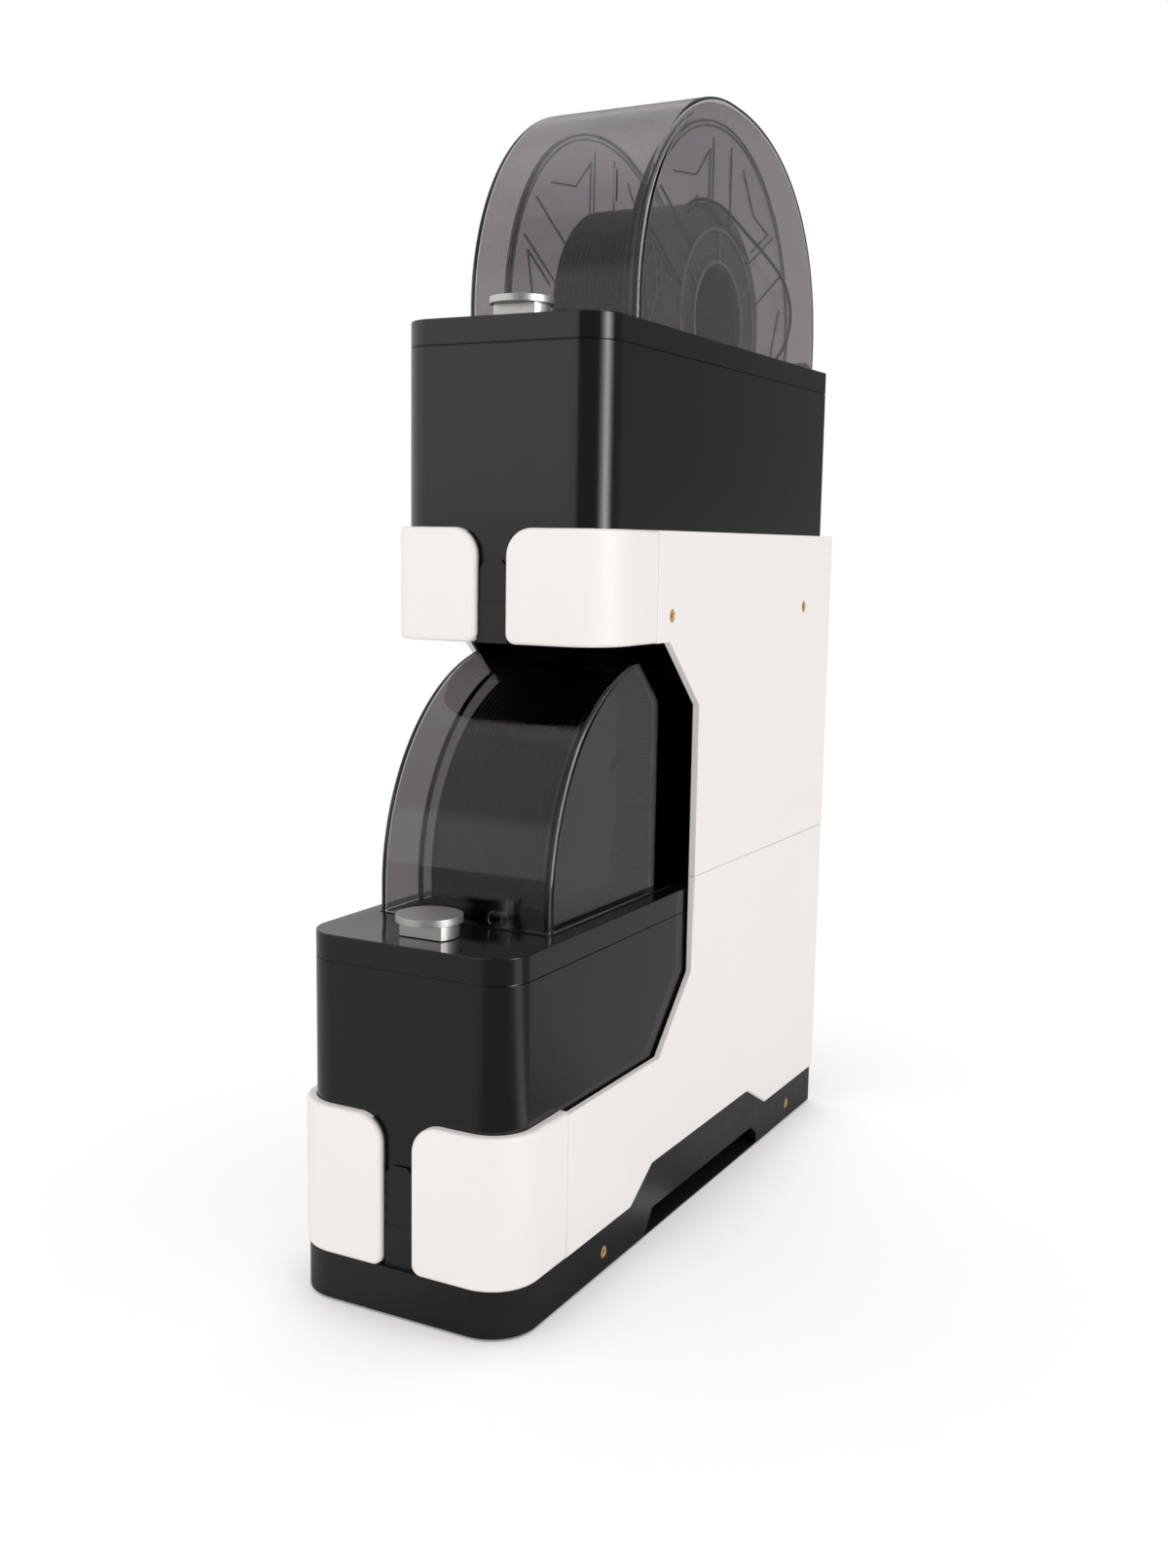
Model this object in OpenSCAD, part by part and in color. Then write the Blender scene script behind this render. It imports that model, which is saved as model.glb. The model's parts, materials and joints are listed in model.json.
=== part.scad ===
// Two-tier stand with two filament dryer boxes.
// The frame stands on the floor at z = 0, is centred on x = 0 and y = 0, and its front looks along -Y.
// A dryer is drawn in its own frame: x = 0 in its middle, y = 0 at its front face, z = 0 at its underside.

/* [Dryer body] */
// Width of a dryer
unit_w = 110; // [106:1:118]
// Depth of a dryer, front to back
unit_d = 283; // [280:1:300]
// Height of the body, from its underside to the deck
body_h = 128; // [124:1:140]
// Radius of the body's upright front corners
corner_r = 18; // [12:1:24]
// Radius of the body's upright back corners
rear_r = 4; // [3:0.5:8]
// Wall of the body shell
shell_t = 2.5; // [1.8:0.1:3]
// Height of the top cap, down to its seam
cap_h = 11.7; // [9:0.1:15]
// Thickness of the deck
deck_t = 3; // [2.6:0.1:4]
// Thickness of the bottom cover
cover_t = 3; // [2:0.1:4]
// Width and depth of the shadow line at the seam
seam_groove = 0.5; // [0.3:0.1:0.8]

/* [Lid] */
// Width of the lid
lid_w = 93; // [91:1:97]
// Height of the lid above the deck
lid_h = 122.5; // [120:0.5:126]
// Wall of the lid
lid_t = 2.6; // [2:0.1:3]
// Lid's front foot, behind the front face
lid_front = 48.5; // [46:0.5:52]
// Lid's back foot, ahead of the back face
lid_back_gap = 0.5; // [0.2:0.1:1.5]
// Crown of the lid, behind the front face
lid_crown = 154.5; // [150:0.5:160]
// Upright part of the lid at its foot
lid_leg = 11; // [9:0.5:14]
// Roundness of the lid's back, 2 is an ellipse
lid_back_power = 2.24; // [2:0.02:2.4]
// Air gap under the lid's foot
lid_gap = 0.5; // [0.4:0.1:0.8]
// Radius of the hinge knuckles
hinge_r = 3; // [2.6:0.1:3.4]
// Radius of the hinge pin
pin_r = 1.25; // [1:0.05:1.5]

/* [Latch] */
// Radius of the knob's disc
knob_r = 15; // [12:0.5:17]
// Thickness of the knob's disc
knob_t = 3.2; // [2:0.1:4]
// Top of the knob above the deck
knob_top = 10.2; // [9:0.1:14]
// Knob's axis, behind the front face
knob_y = 22; // [19:0.5:24]
// Radius of the knob's stem
stem_r = 4; // [3:0.1:5]

/* [Spool] */
// Diameter of the spool's flanges
spool_d = 200; // [194:1:200]
// Width of the spool over its flanges
spool_w = 68; // [60:1:70]
// Thickness of a flange
flange_t = 3; // [2:0.1:4]
// Spool's axis, behind the front face
spool_y = 164; // [162:0.5:166]
// Air between the spool's rim and the lid's crown
spool_room = 4.9; // [4:0.1:7]
// Diameter of the upper winding, part used
up_wound_d = 121; // [105:1:130]
// Diameter of the lower winding, full
low_wound_d = 190; // [150:1:192]
// Radius of the hub's bore
hub_bore_r = 28; // [24:0.5:29]
// Radius of the hub's barrel
hub_r = 34; // [32:0.5:40]
// Diameter of the filament
strand_d = 1.75; // [1.6:0.05:1.9]

/* [Rollers and feeder] */
// Radius of the rollers that carry the spool
roller_r = 12; // [10:0.5:13]
// Angle of the rollers from straight below the spool
roller_angle = 35; // [32:1:38]
// Radius of the roller axles
axle_r = 3; // [2:0.1:4]
// Radius of the feeder's two wheels
wheel_r = 8; // [7:0.1:9]
// Radius of the feeder's shafts
shaft_r = 1.5; // [1:0.1:2]
// Bore of the filament outlet
outlet_r = 2.1; // [2:0.05:2.4]

/* [Heater and fan] */
// Side of the fan and of the heater block
fan_side = 60; // [50:1:60]
// Height of the fan
fan_h = 15; // [12:0.5:18]
// Height of the heater block
heater_h = 12; // [8:0.5:16]

/* [Stand] */
// Set-back of the upper dryer from the lower one
tier_offset = 75.6; // [68:0.1:82]
// Height from one tier to the next
tier_rise = 274.7; // [272:0.1:290]
// Height of the base
base_h = 21.7; // [19:0.1:26]
// Set-back of the base behind the clips and panels
base_inset = 1; // [0.5:0.1:1.5]
// Height of a tray
tray_h = 19.2; // [16:0.1:24]
// Thickness of a side panel
panel_t = 3.4; // [3:0.1:4]
// Thickness of the black liner behind a side panel
liner_t = 1; // [0.8:0.1:1.6]
// Free space round a dryer
unit_fit = 0.4; // [0.3:0.1:0.8]
// Air behind the upper dryer
rear_gap = 1.5; // [1:0.1:5]
// Height of the lower front clips
lower_clip_h = 69.6; // [60:0.1:74]
// Height of the upper front clips
upper_clip_h = 52.8; // [45:0.1:60]
// Width of the slot between two clips
slot_w = 16; // [12:0.5:24]
// Radius of a clip's upper inner corner
clip_top_r = 13; // [8:0.5:16]
// Radius of a clip's lower inner corner
clip_low_r = 5; // [3:0.5:8]
// Depth of the upper clips' side arms
upper_arm = 53.5; // [44:0.5:60]
// Depth of the lower clips' side arms
lower_arm = 49; // [40:0.5:56]
// Lip in the slot above the lower dryer's underside
lower_lip_h = 28; // [20:0.5:34]
// Lip in the slot above the upper dryer's underside
upper_lip_h = 19; // [14:0.5:26]
// Height of the feet below the base
foot_h = 1.2; // [1:0.1:3]
// Radius of a screw's head
screw_head_r = 3.2; // [2.5:0.1:3.6]

/* [Hidden] */

$fn = 64;
eps = 0.02;          // makes a cut run past the face it opens
run_fit = 0.06;      // radial clearance of a shaft in its bore
slip = 0.1;          // clearance of a fixed piece in its seat
near = 0.3;          // gap between two moving bodies

// Stand: overall sizes
stand_in = unit_w / 2 + unit_fit;              // half width inside the liners
liner_out = stand_in + liner_t;
half_w = liner_out + panel_t;                  // half width of the stand
front_t = liner_t + panel_t;                   // thickness of a clip
back_t = 3.4;                                  // thickness of the back wall
stand_d = front_t + unit_fit + tier_offset + unit_d + rear_gap + back_t;
y_front = -stand_d / 2;
y_back = stand_d / 2;
y_wall = y_back - back_t;                      // front face of the back wall
low_y = y_front + front_t + unit_fit;          // front face of the lower dryer
up_y = low_y + tier_offset;                    // front face of the upper dryer
base_top = foot_h + base_h;
low_z = base_top + tray_h;                     // underside of the lower dryer
up_z = low_z + tier_rise;                      // underside of the upper dryer
up_band = up_z - tray_h;                       // lower edge of the upper tier's band
stand_top = up_band + upper_clip_h;
clip_out_r = corner_r + unit_fit + front_t;
clip_in_r = corner_r + unit_fit;
back_r = 3;
seam_gap = 0.3;                                // shadow line between two white pieces
panel_seam_z = base_top + 153.8;               // seam between lower and upper panels
low_seam_y = y_front + lower_arm;
up_seat = up_y - unit_fit - front_t;           // front face of the upper clips
up_seam_y = up_seat + upper_arm;

// Side cut-out and base rise, seen from the side
cut_low_z = base_top + lower_clip_h - 1.8;
cut_top_z = up_band;
cut_y = up_y + 63.5;
cut_deep_y = up_y + 99.7;
cut_low_bend_z = cut_low_z + 36;
cut_top_bend_z = cut_top_z - 33;
rise_h = 14.7;
rise_front = [34, 57.5];                       // where the base rises, behind the upper dryer's front face
rise_rear = [106, 78.5];                       // where it falls again, ahead of the stand's back
rise_y = [up_y + rise_front[0], up_y + rise_front[1], y_back - rise_rear[0], y_back - rise_rear[1]];
grip_front = [52, 60.5];
grip_rear = [97, 89];
grip_y = [up_y + grip_front[0], up_y + grip_front[1], y_back - grip_rear[0], y_back - grip_rear[1]];
grip_h = 12;
base_half = half_w - base_inset;
base_front = y_front + base_inset;
base_skirt = 4;
base_plate = 3;
rib_t = 3;
rib_y = [up_y + 20, (up_y + 20 + y_back - 60) / 2, y_back - 60];
rib_half = base_half - base_skirt - 16;        // the ribs leave room for fingers behind the grips
tray_floor = 4;
tray_wall = 3;
tongue_w = slot_w - 0.6;
tongue_back = unit_fit;                        // tongue's rear face, ahead of the dryer
tongue_deep = tongue_back + 1.4;               // front face of the tongue's lower part
tongue_thin = tongue_back + 0.9;               // and of its upper part
tongue_bevel = 4;                              // bevel of the tongue's upper corners
screw_shank_r = 1.5;
screw_head_h = 2;
screw_len = 6.6;
screw_sink = 0.2;                              // head's face, below the panel's face
screw_socket = 1.3;                            // radius and depth of the socket in a head
upper_screw_z = up_band + 12.5;
base_screw_z = foot_h + 9;
upper_screws = [[up_y + 65.7, upper_screw_z], [y_back - 44, upper_screw_z]];
base_screws = [[up_y + 8.3, base_screw_z], [y_back - 40.7, base_screw_z]];
foot_r = 7;
foot_inset = 12.8;                             // foot's middle, inside the stand's side
foot_x = half_w - foot_inset;
foot_y = [y_front + 17, y_back - 24];
window_w = 80;                                 // cable windows in the back wall
window_r = 6;
low_window = [low_z + 8, low_z + 118];
up_window = up_z + 4;

// Dryer: derived sizes
cap_z = body_h - cap_h;
inner_r = 1.2;                                 // radius inside the body's back corners
lid_back = unit_d - lid_back_gap;
lid_half = lid_w / 2;
hinge_y = lid_back - hinge_r;
hinge_z = body_h + lid_gap + hinge_r;
lug_x = [30, 36];
knuckle_end = lid_half - lid_t - 3;
open_half = 42;                                // deck opening, for the spool
spool_slack = 4;                               // air ahead of and behind the spool in the deck's opening
open_front = spool_y - spool_d / 2 - spool_slack;
open_back = min(spool_y + spool_d / 2 + spool_slack, hinge_y - hinge_r - 5);
seal_w = 1.8;
seal_in = 0.4;                                 // seal's outer edge, inside the lid's face
seal_deep = 1.5;
seal_back = hinge_y - hinge_r - 0.9;
sill = [seal_back - seal_w - seal_in, seal_back + seal_in];
flange_r = spool_d / 2;
spool_z = lid_h - lid_t - spool_room - flange_r;   // spool's axis above the deck
axis_z = body_h + spool_z;
roller_reach = flange_r + roller_r + near;
roller_dy = roller_reach * sin(roller_angle);
roller_z = axis_z - roller_reach * cos(roller_angle);
drum_x = [spool_w / 2 - 8, spool_w / 2 + 11];
cradle_x = [spool_w / 2 + 13.5, spool_w / 2 + 16];
cradle_y = [spool_y - roller_dy - 11, spool_y + roller_dy + 11];
block_y = [lid_front + lid_t, lid_front + lid_t + 7];
block_half = 12;
block_h = 8;
hook_y = [block_y[0] + 1, block_y[0] + 3.5];
hook_z = [-9, -6.6];
arm_z = [-6.2, -3.4];
arm_reach = hook_y[1] - knob_y;
wheel_y = unit_d - 18;
strand_gap = strand_d + 0.05;
drive_z = cover_t + 13;
idler_z = drive_z + 2 * wheel_r + strand_gap;
outlet_z = (drive_z + idler_z) / 2;
collar_r = 5;
collar_len = 8;
socket_x = [-40, -20];
socket_z = [20, 34];
socket_deep = 10;
socket_wall = 2;
socket_mid = [(socket_x[0] + socket_x[1]) / 2, (socket_z[0] + socket_z[1]) / 2];
contact_x = 3;                                 // contacts, beside the socket's middle
fan_y = 22 + fan_side / 2;
fan_bore = fan_side / 2 - 3;
board_y = [unit_d - 34, unit_d - 8];
board_x = [-50, -8];
post_h = 5;
board_t = 1.6;
flange_slot_a = 122;                           // where the loose end leaves through the flange
flange_slot = [18, 12];                        // width and height of such a slot
park_hole = [34, -31.3];                     // hole that holds the loose end, from the spool's axis
park_hole_r = 2;

// Route of the loose end: x from the middle, y and z from the spool's axis
STRAND = [
    [29.2, -42, 45.2], [30.5, -38, 50], [32.5, -33, 55], [35, -26, 57.5], [37, -16, 58], [38, -4, 56.5],
    [38.5, 8, 53.5], [38.5, 22, 50], [38.5, 36, 46.5], [38.5, 50, 43], [38.5, 64, 39], [38.5, 76, 34.5],
    [38.5, 85, 29], [38.5, 91, 22], [38.5, 93, 14], [38.5, 91, 6], [38.5, 86, -1], [38.5, 79, -7],
    [38.5, 71, -12], [38.5, 62, -17], [38.3, 52, -22], [37.4, 43, -26.5], [36, 38, -29.2], [34, 34.5, -31],
    [31.6, 33.5, -31.5]
];
STRAND_SIDES = 8;

// ---------------------------------------------------------------- helpers

// Rounded rectangle with its own radius at the front (-Y) and at the back
module plan(w, y0, y1, r0, r1) {
    union() {
        translate([-w / 2, y0 + r0]) square([w, y1 - y0 - r0 - r1]);
        translate([-w / 2 + r0, y0]) square([w - 2 * r0, r0 + eps]);
        translate([-w / 2 + r1, y1 - r1 - eps]) square([w - 2 * r1, r1 + eps]);
        for (s = [-1, 1]) {
            translate([s * (w / 2 - r0), y0 + r0]) circle(r0);
            translate([s * (w / 2 - r1), y1 - r1]) circle(r1);
        }
    }
}

module slab(w, y0, y1, r0, r1, z0, z1) {
    translate([0, 0, z0]) linear_extrude(z1 - z0) plan(w, y0, y1, r0, r1);
}

// Box from its low and high corners
module block(a, b) { translate(a) cube(b - a); }

// Cylinder along X from x0 to x1
module rod_x(x0, x1, y, z, r) { translate([x0, y, z]) rotate([0, 90, 0]) cylinder(h = x1 - x0, r = r); }

// Outline in (y, z), drawn from x0 to x1
module side_plate(x0, x1, points) {
    translate([x0, 0, 0]) rotate([90, 0, 90]) linear_extrude(x1 - x0) polygon(points);
}

module at_low() { translate([0, low_y, low_z]) children(); }
module at_up() { translate([0, up_y, up_z]) children(); }
module mirrored(side) { if (side > 0) children(); else mirror([1, 0, 0]) children(); }

// Outline of the lid, inset by t: an ellipse in front and a fuller curve behind.
// The heel is the bevel at the back of the foot, which clears the deck as the lid swings open.
function lid_outline(t, foot, heel, n = 28) = concat(
    [[lid_front + t, foot]],
    [for (i = [0 : n]) let (a = 90 * i / n)
        [lid_crown - (lid_crown - lid_front - t) * cos(a), lid_leg + (lid_h - lid_leg - t) * sin(a)]],
    [for (i = [n - 1 : -1 : 0]) let (a = 90 * i / n, k = 2 / lid_back_power)
        [lid_crown + (lid_back - lid_crown - t) * pow(cos(a), k), lid_leg + (lid_h - lid_leg - t) * pow(sin(a), k)]],
    [[lid_back - t, foot + heel]],
    heel > 0 ? [[lid_back - t - heel, foot]] : []);

// ---------------------------------------------------------------- stand

// Outline of a side panel above the base, with the open cut-out, between two heights
module side_outline(z0, z1, inset) {
    intersection() {
        polygon([
            [low_seam_y, base_top], [rise_y[0], base_top], [rise_y[1], base_top + rise_h],
            [rise_y[2], base_top + rise_h], [rise_y[3], base_top], [y_back, base_top], [y_back, stand_top],
            [up_seam_y, stand_top], [up_seam_y, cut_top_z + inset], [cut_y + inset, cut_top_z + inset],
            [cut_deep_y + inset, cut_top_bend_z], [cut_deep_y + inset, cut_low_bend_z],
            [cut_y + inset, cut_low_z - inset], [low_seam_y, cut_low_z - inset]
        ]);
        translate([y_front, z0]) square([stand_d, z1 - z0]);
    }
}

// What an upper clip takes from the side's outline, seam included
module clip_notch() {
    translate([up_seat - 1, cut_top_z - 1]) square([upper_arm + seam_gap + 1, upper_clip_h + 2]);
}

module screw_holes(list, head_x, r_head, r_shank) {
    for (p = list) {
        rod_x(head_x, half_w + 1, p[0], p[1], r_head);
        rod_x(head_x - screw_len, head_x + 1, p[0], p[1], r_shank);
    }
}

module panel(side, z0, z1) {
    mirrored(side) difference() {
        translate([liner_out, 0, 0]) rotate([90, 0, 90]) linear_extrude(panel_t)
            difference() {
                side_outline(z0, z1, 0);
                translate([y_front, z0 - 1]) square([low_seam_y + seam_gap - y_front, cut_top_z - z0]);
                clip_notch();
            }
        screw_holes(upper_screws, half_w - screw_head_h - screw_sink, screw_head_r + slip, screw_shank_r + slip);
    }
}

module lower_left_panel() color("#f1ede9") panel(-1, base_top, panel_seam_z - seam_gap);
module lower_right_panel() color("#f1ede9") panel(1, base_top, panel_seam_z - seam_gap);
module upper_left_panel() color("#f1ede9") panel(-1, panel_seam_z, stand_top);
module upper_right_panel() color("#f1ede9") panel(1, panel_seam_z, stand_top);

// The liners keep the inside of the stand black. Each runs from the base to the top of the band.
module side_liners() color("#1c1b1c") for (side = [-1, 1]) mirrored(side) difference() {
    translate([stand_in, 0, 0]) rotate([90, 0, 90]) linear_extrude(liner_t) difference() {
        union() {
            side_outline(base_top, stand_top, 0.8);
            translate([rise_y[0] - 1, base_top]) square([rise_y[3] - rise_y[0] + 2, rise_h + 1]);
        }
        translate([y_wall, 0]) square([back_t + 1, stand_top + 1]);
        translate([y_front, base_top - 1]) square([low_seam_y + seam_gap - y_front, cut_top_z - base_top]);
        clip_notch();
    }
    screw_holes(upper_screws, half_w, screw_shank_r + slip, screw_shank_r + slip);
}

module clip(side, seat_y, arm, z0, h) {
    mirrored(side) difference() {
        translate([0, 0, z0]) linear_extrude(h) intersection() {
            difference() {
                plan(2 * half_w, seat_y, seat_y + arm + 60, clip_out_r, back_r);
                plan(2 * stand_in, seat_y + front_t, seat_y + arm + 90, clip_in_r, back_r);
            }
            translate([slot_w / 2, seat_y - 1]) square([half_w, arm + 1]);
        }
        clip_corner(seat_y, z0 + h, clip_top_r, -1);
        clip_corner(seat_y, z0, clip_low_r, 1);
    }
}

// What is cut away to round a clip's inner corner; up is 1 at a lower edge and -1 at an upper one
module clip_corner(seat_y, z, r, up) {
    translate([slot_w / 2, seat_y - 1, z]) rotate([90, 0, 0]) mirror([0, 0, 1])
        linear_extrude(front_t + 2) difference() {
            translate([-1, up > 0 ? -1 : -r]) square([r + 1, r + 1]);
            translate([r, up * r]) circle(r);
        }
}

module lower_left_clip() color("#f1ede9") clip(-1, y_front, lower_arm, base_top, lower_clip_h);
module lower_right_clip() color("#f1ede9") clip(1, y_front, lower_arm, base_top, lower_clip_h);
module upper_left_clip() color("#f1ede9") clip(-1, up_seat, upper_arm, up_band, upper_clip_h);
module upper_right_clip() color("#f1ede9") clip(1, up_seat, upper_arm, up_band, upper_clip_h);

// A pan turned upside down, with a stepped tongue that fills the slot between the clips
module tray(seat_y, z0, lip_h) {
    w = 2 * stand_in;
    difference() {
        slab(w, seat_y, y_wall, clip_in_r, back_r, z0, z0 + tray_h);
        slab(w - 2 * tray_wall, seat_y + tray_wall, y_wall - tray_wall, clip_in_r - tray_wall, back_r,
            z0 - 1, z0 + tray_h - tray_floor);
    }
    front = seat_y + unit_fit;
    block([-tongue_w / 2, front - tongue_deep, z0], [tongue_w / 2, seat_y + eps, z0 + tray_h]);
    top = z0 + tray_h + lip_h;
    side = tongue_w / 2;
    translate([0, seat_y, 0]) rotate([90, 0, 0]) linear_extrude(tongue_thin - tongue_back) polygon([
        [-side, z0], [side, z0], [side, top - tongue_bevel], [side - tongue_bevel, top],
        [tongue_bevel - side, top], [-side, top - tongue_bevel]]);
}

module lower_tray() color("#232223") tray(low_y - unit_fit, base_top, lower_lip_h);

module upper_tray() color("#232223") difference() {
    tray(up_y - unit_fit, up_band, upper_lip_h);
    for (s = [-1, 1]) mirrored(s) screw_holes(upper_screws, half_w, screw_shank_r + slip, screw_shank_r + slip);
}

module back_wall() color("#232223") difference() {
    block([-liner_out, y_wall, base_top], [liner_out, y_back, stand_top]);
    translate([0, y_back + 1, 0]) rotate([90, 0, 0]) linear_extrude(back_t + 2) {
        translate([-window_w / 2, low_window[0]]) square([window_w, low_window[1] - low_window[0]]);
        translate([-window_w / 2, up_window]) square([window_w, stand_top - up_window + 1]);
    }
}

module base() color("#2b2a2b") difference() {
    union() {
        slab(2 * base_half, base_front, y_back, clip_out_r - base_inset, back_r, foot_h, base_top);
        for (s = [-1, 1]) mirrored(s) side_plate(liner_out, base_half, [
            [rise_y[0], base_top - 1], [rise_y[0], base_top], [rise_y[1], base_top + rise_h],
            [rise_y[2], base_top + rise_h], [rise_y[3], base_top], [rise_y[3], base_top - 1]
        ]);
    }
    difference() {
        slab(2 * (base_half - base_skirt), base_front + base_skirt, y_back - base_skirt,
            clip_out_r - base_inset - base_skirt, back_r, foot_h - 1, base_top - base_plate);
        for (s = [-1, 1], y = foot_y) translate([s * foot_x, y, 0]) cylinder(h = base_top, r = foot_r + 1.5);
        for (y = rib_y) block([-rib_half, y, 0], [rib_half, y + rib_t, base_top]);
    }
    // finger grips along both sides
    for (s = [-1, 1]) mirrored(s) side_plate(base_half - base_skirt - 1, half_w + 1, [
        [grip_y[0], foot_h - 1], [grip_y[0], foot_h], [grip_y[1], foot_h + grip_h], [grip_y[2], foot_h + grip_h],
        [grip_y[3], foot_h + grip_h / 2], [grip_y[3], foot_h - 1]
    ]);
    for (s = [-1, 1]) mirrored(s)
        screw_holes(base_screws, base_half - screw_head_h - screw_sink, screw_head_r + slip, screw_shank_r + slip);
}

module base_feet() color("#161616") for (s = [-1, 1], y = foot_y)
    translate([s * foot_x, y, 0]) rotate_extrude() polygon([[0, 0], [foot_r - 0.8, 0], [foot_r, 0.8],
        [foot_r, foot_h], [0, foot_h]]);

// Screw with its head just below a face at x
module screw(x, y, z) {
    difference() {
        rod_x(x - screw_sink - screw_head_h, x - screw_sink, y, z, screw_head_r);
        rod_x(x - screw_sink - screw_socket, x, y, z, screw_socket);
    }
    rod_x(x - screw_len, x - screw_head_h, y, z, screw_shank_r);
}

module panel_screws() color("#b08d4a") for (s = [-1, 1]) mirrored(s) {
    for (p = upper_screws) screw(half_w, p[0], p[1]);
    for (p = base_screws) screw(base_half, p[0], p[1]);
}

// ---------------------------------------------------------------- dryer: housing

module bottom_cover() color("#242324") {
    slab(unit_w, 0, unit_d, corner_r, rear_r, 0, cover_t);
    difference() {
        slab(unit_w - 2 * shell_t - 2 * slip, shell_t + slip, unit_d - shell_t - slip, corner_r - shell_t - slip,
            inner_r, cover_t, cover_t + 2);
        slab(unit_w - 2 * shell_t - 4, shell_t + 2, unit_d - shell_t - 2, corner_r - shell_t - 2,
            inner_r, cover_t - 1, cover_t + 3);
    }
    for (x = [board_x[0] + 4, board_x[1] - 4], y = [board_y[0] + 4, board_y[1] - 4])
        translate([x, y, cover_t]) cylinder(h = post_h, r = 2.5);
}

module shell() color("#2f2d2f") difference() {
    slab(unit_w, 0, unit_d, corner_r, rear_r, cover_t, cap_z);
    slab(unit_w - 2 * shell_t, shell_t, unit_d - shell_t, corner_r - shell_t, inner_r, cover_t - 1, cap_z + 1);
    // shadow line under the cap
    difference() {
        slab(unit_w + 2, -1, unit_d + 1, corner_r + 1, rear_r + 1, cap_z - seam_groove, cap_z + 1);
        slab(unit_w - 2 * seam_groove, seam_groove, unit_d - seam_groove, corner_r - seam_groove,
            rear_r - seam_groove, cap_z - 2, cap_z + 2);
    }
    // filament outlet and power socket at the back
    translate([0, unit_d + 1, outlet_z]) rotate([90, 0, 0]) cylinder(h = shell_t + 2, r = collar_r + slip / 2);
    block([socket_x[0] - slip, unit_d - shell_t - 1, socket_z[0] - slip],
        [socket_x[1] + slip, unit_d + 1, socket_z[1] + slip]);
}

// The cap: skirt, deck with the spool opening, hinge lugs and the groove for the seal
module deck() color("#2f2d2f") difference() {
    union() {
        difference() {
            slab(unit_w, 0, unit_d, corner_r, rear_r, cap_z, body_h);
            slab(unit_w - 2 * shell_t, shell_t, unit_d - shell_t, corner_r - shell_t, inner_r,
                cap_z - 1, body_h - deck_t);
        }
        for (s = [-1, 1]) mirrored(s) {
            rod_x(lug_x[0], lug_x[1], hinge_y, hinge_z, hinge_r);
            block([lug_x[0], hinge_y - hinge_r, body_h - 1], [lug_x[1], hinge_y + hinge_r, hinge_z]);
        }
    }
    block([-open_half, open_front, body_h - deck_t - 1], [open_half, open_back, body_h + 1]);
    block([-block_half + 4, block_y[0] + 0.2, body_h - deck_t - 1], [block_half - 4, open_front + 1, body_h + 1]);
    seal_ring(seal_deep, slip / 2, 1);
    translate([0, knob_y, body_h - deck_t - 1]) cylinder(h = deck_t + 2, r = stem_r + run_fit);
    for (s = [-1, 1]) mirrored(s) rod_x(lug_x[0] - 1, lug_x[1] + 1, hinge_y, hinge_z, pin_r);
}

// Ring under the lid's foot, from down below the deck to rise above it
module seal_ring(down, grow, rise) {
    y0 = lid_front + seal_in;
    w = lid_w - 2 * seal_in;
    translate([0, 0, body_h - down]) linear_extrude(down + rise) difference() {
        translate([-w / 2 - grow, y0 - grow]) square([w + 2 * grow, seal_back - y0 + 2 * grow]);
        translate([-w / 2 + seal_w + grow, y0 + seal_w + grow])
            square([w - 2 * (seal_w + grow), seal_back - y0 - 2 * (seal_w + grow)]);
    }
}

module lid_seal() color("#181818") seal_ring(seal_deep, 0, lid_gap - near);

module hinge_pin() color("#9a9a98") rod_x(-knuckle_end, knuckle_end, hinge_y, hinge_z, pin_r);

// Clear domed lid with its sill and hinge knuckles
module lid() color("#6f6a6bb0") difference() {
    union() {
        translate([0, 0, body_h]) difference() {
            side_plate(-lid_half, lid_half, lid_outline(0, lid_gap, hinge_r));
            side_plate(-lid_half + lid_t, lid_half - lid_t, lid_outline(lid_t, -1, 0));
        }
        block([-lid_half + 1, sill[0], body_h + lid_gap], [lid_half - 1, sill[1], body_h + lid_gap + 4]);
        rod_x(-knuckle_end, knuckle_end, hinge_y, hinge_z, hinge_r);
        for (s = [-1, 1]) mirrored(s)
            block([knuckle_end - 2, hinge_y - 1, hinge_z - 1], [lid_half - 1, hinge_y + 1, hinge_z + 1]);
    }
    for (s = [-1, 1]) mirrored(s)
        block([lug_x[0] - near, hinge_y - hinge_r - near, body_h], [lug_x[1] + near, lid_back + 1, hinge_z + hinge_r + 0.6]);
    rod_x(-knuckle_end - eps, knuckle_end + eps, hinge_y, hinge_z, pin_r + run_fit);
}

// Catch inside the lid's foot, with a hook that reaches below the deck
module latch_block() color("#111111") translate([0, 0, body_h]) {
    block([-block_half, block_y[0], lid_gap + 0.1], [block_half, block_y[1], block_h]);
    block([-6, hook_y[0], hook_z[0]], [-4.5, hook_y[1], 1]);
    block([-6, hook_y[0], hook_z[0]], [6, hook_y[1], hook_z[1]]);
}

// Knob: disc, D-shaped cam under it, stem and the arm that swings under the catch
module knob() color("#c9c8c4") translate([0, knob_y, body_h]) {
    translate([0, 0, knob_top - knob_t]) cylinder(h = knob_t, r = knob_r);
    difference() {
        translate([0, 0, near]) cylinder(h = knob_top - knob_t - near + eps, r = knob_r - 1.8);
        block([-knob_r, -knob_r, 0], [knob_r, -knob_r / 2, knob_top - knob_t]);
    }
    translate([0, 0, arm_z[0]]) cylinder(h = -arm_z[0] + near + eps, r = stem_r);
    block([0, -3, arm_z[0]], [arm_reach, 3, arm_z[1]]);
}

// ---------------------------------------------------------------- dryer: spool

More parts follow.
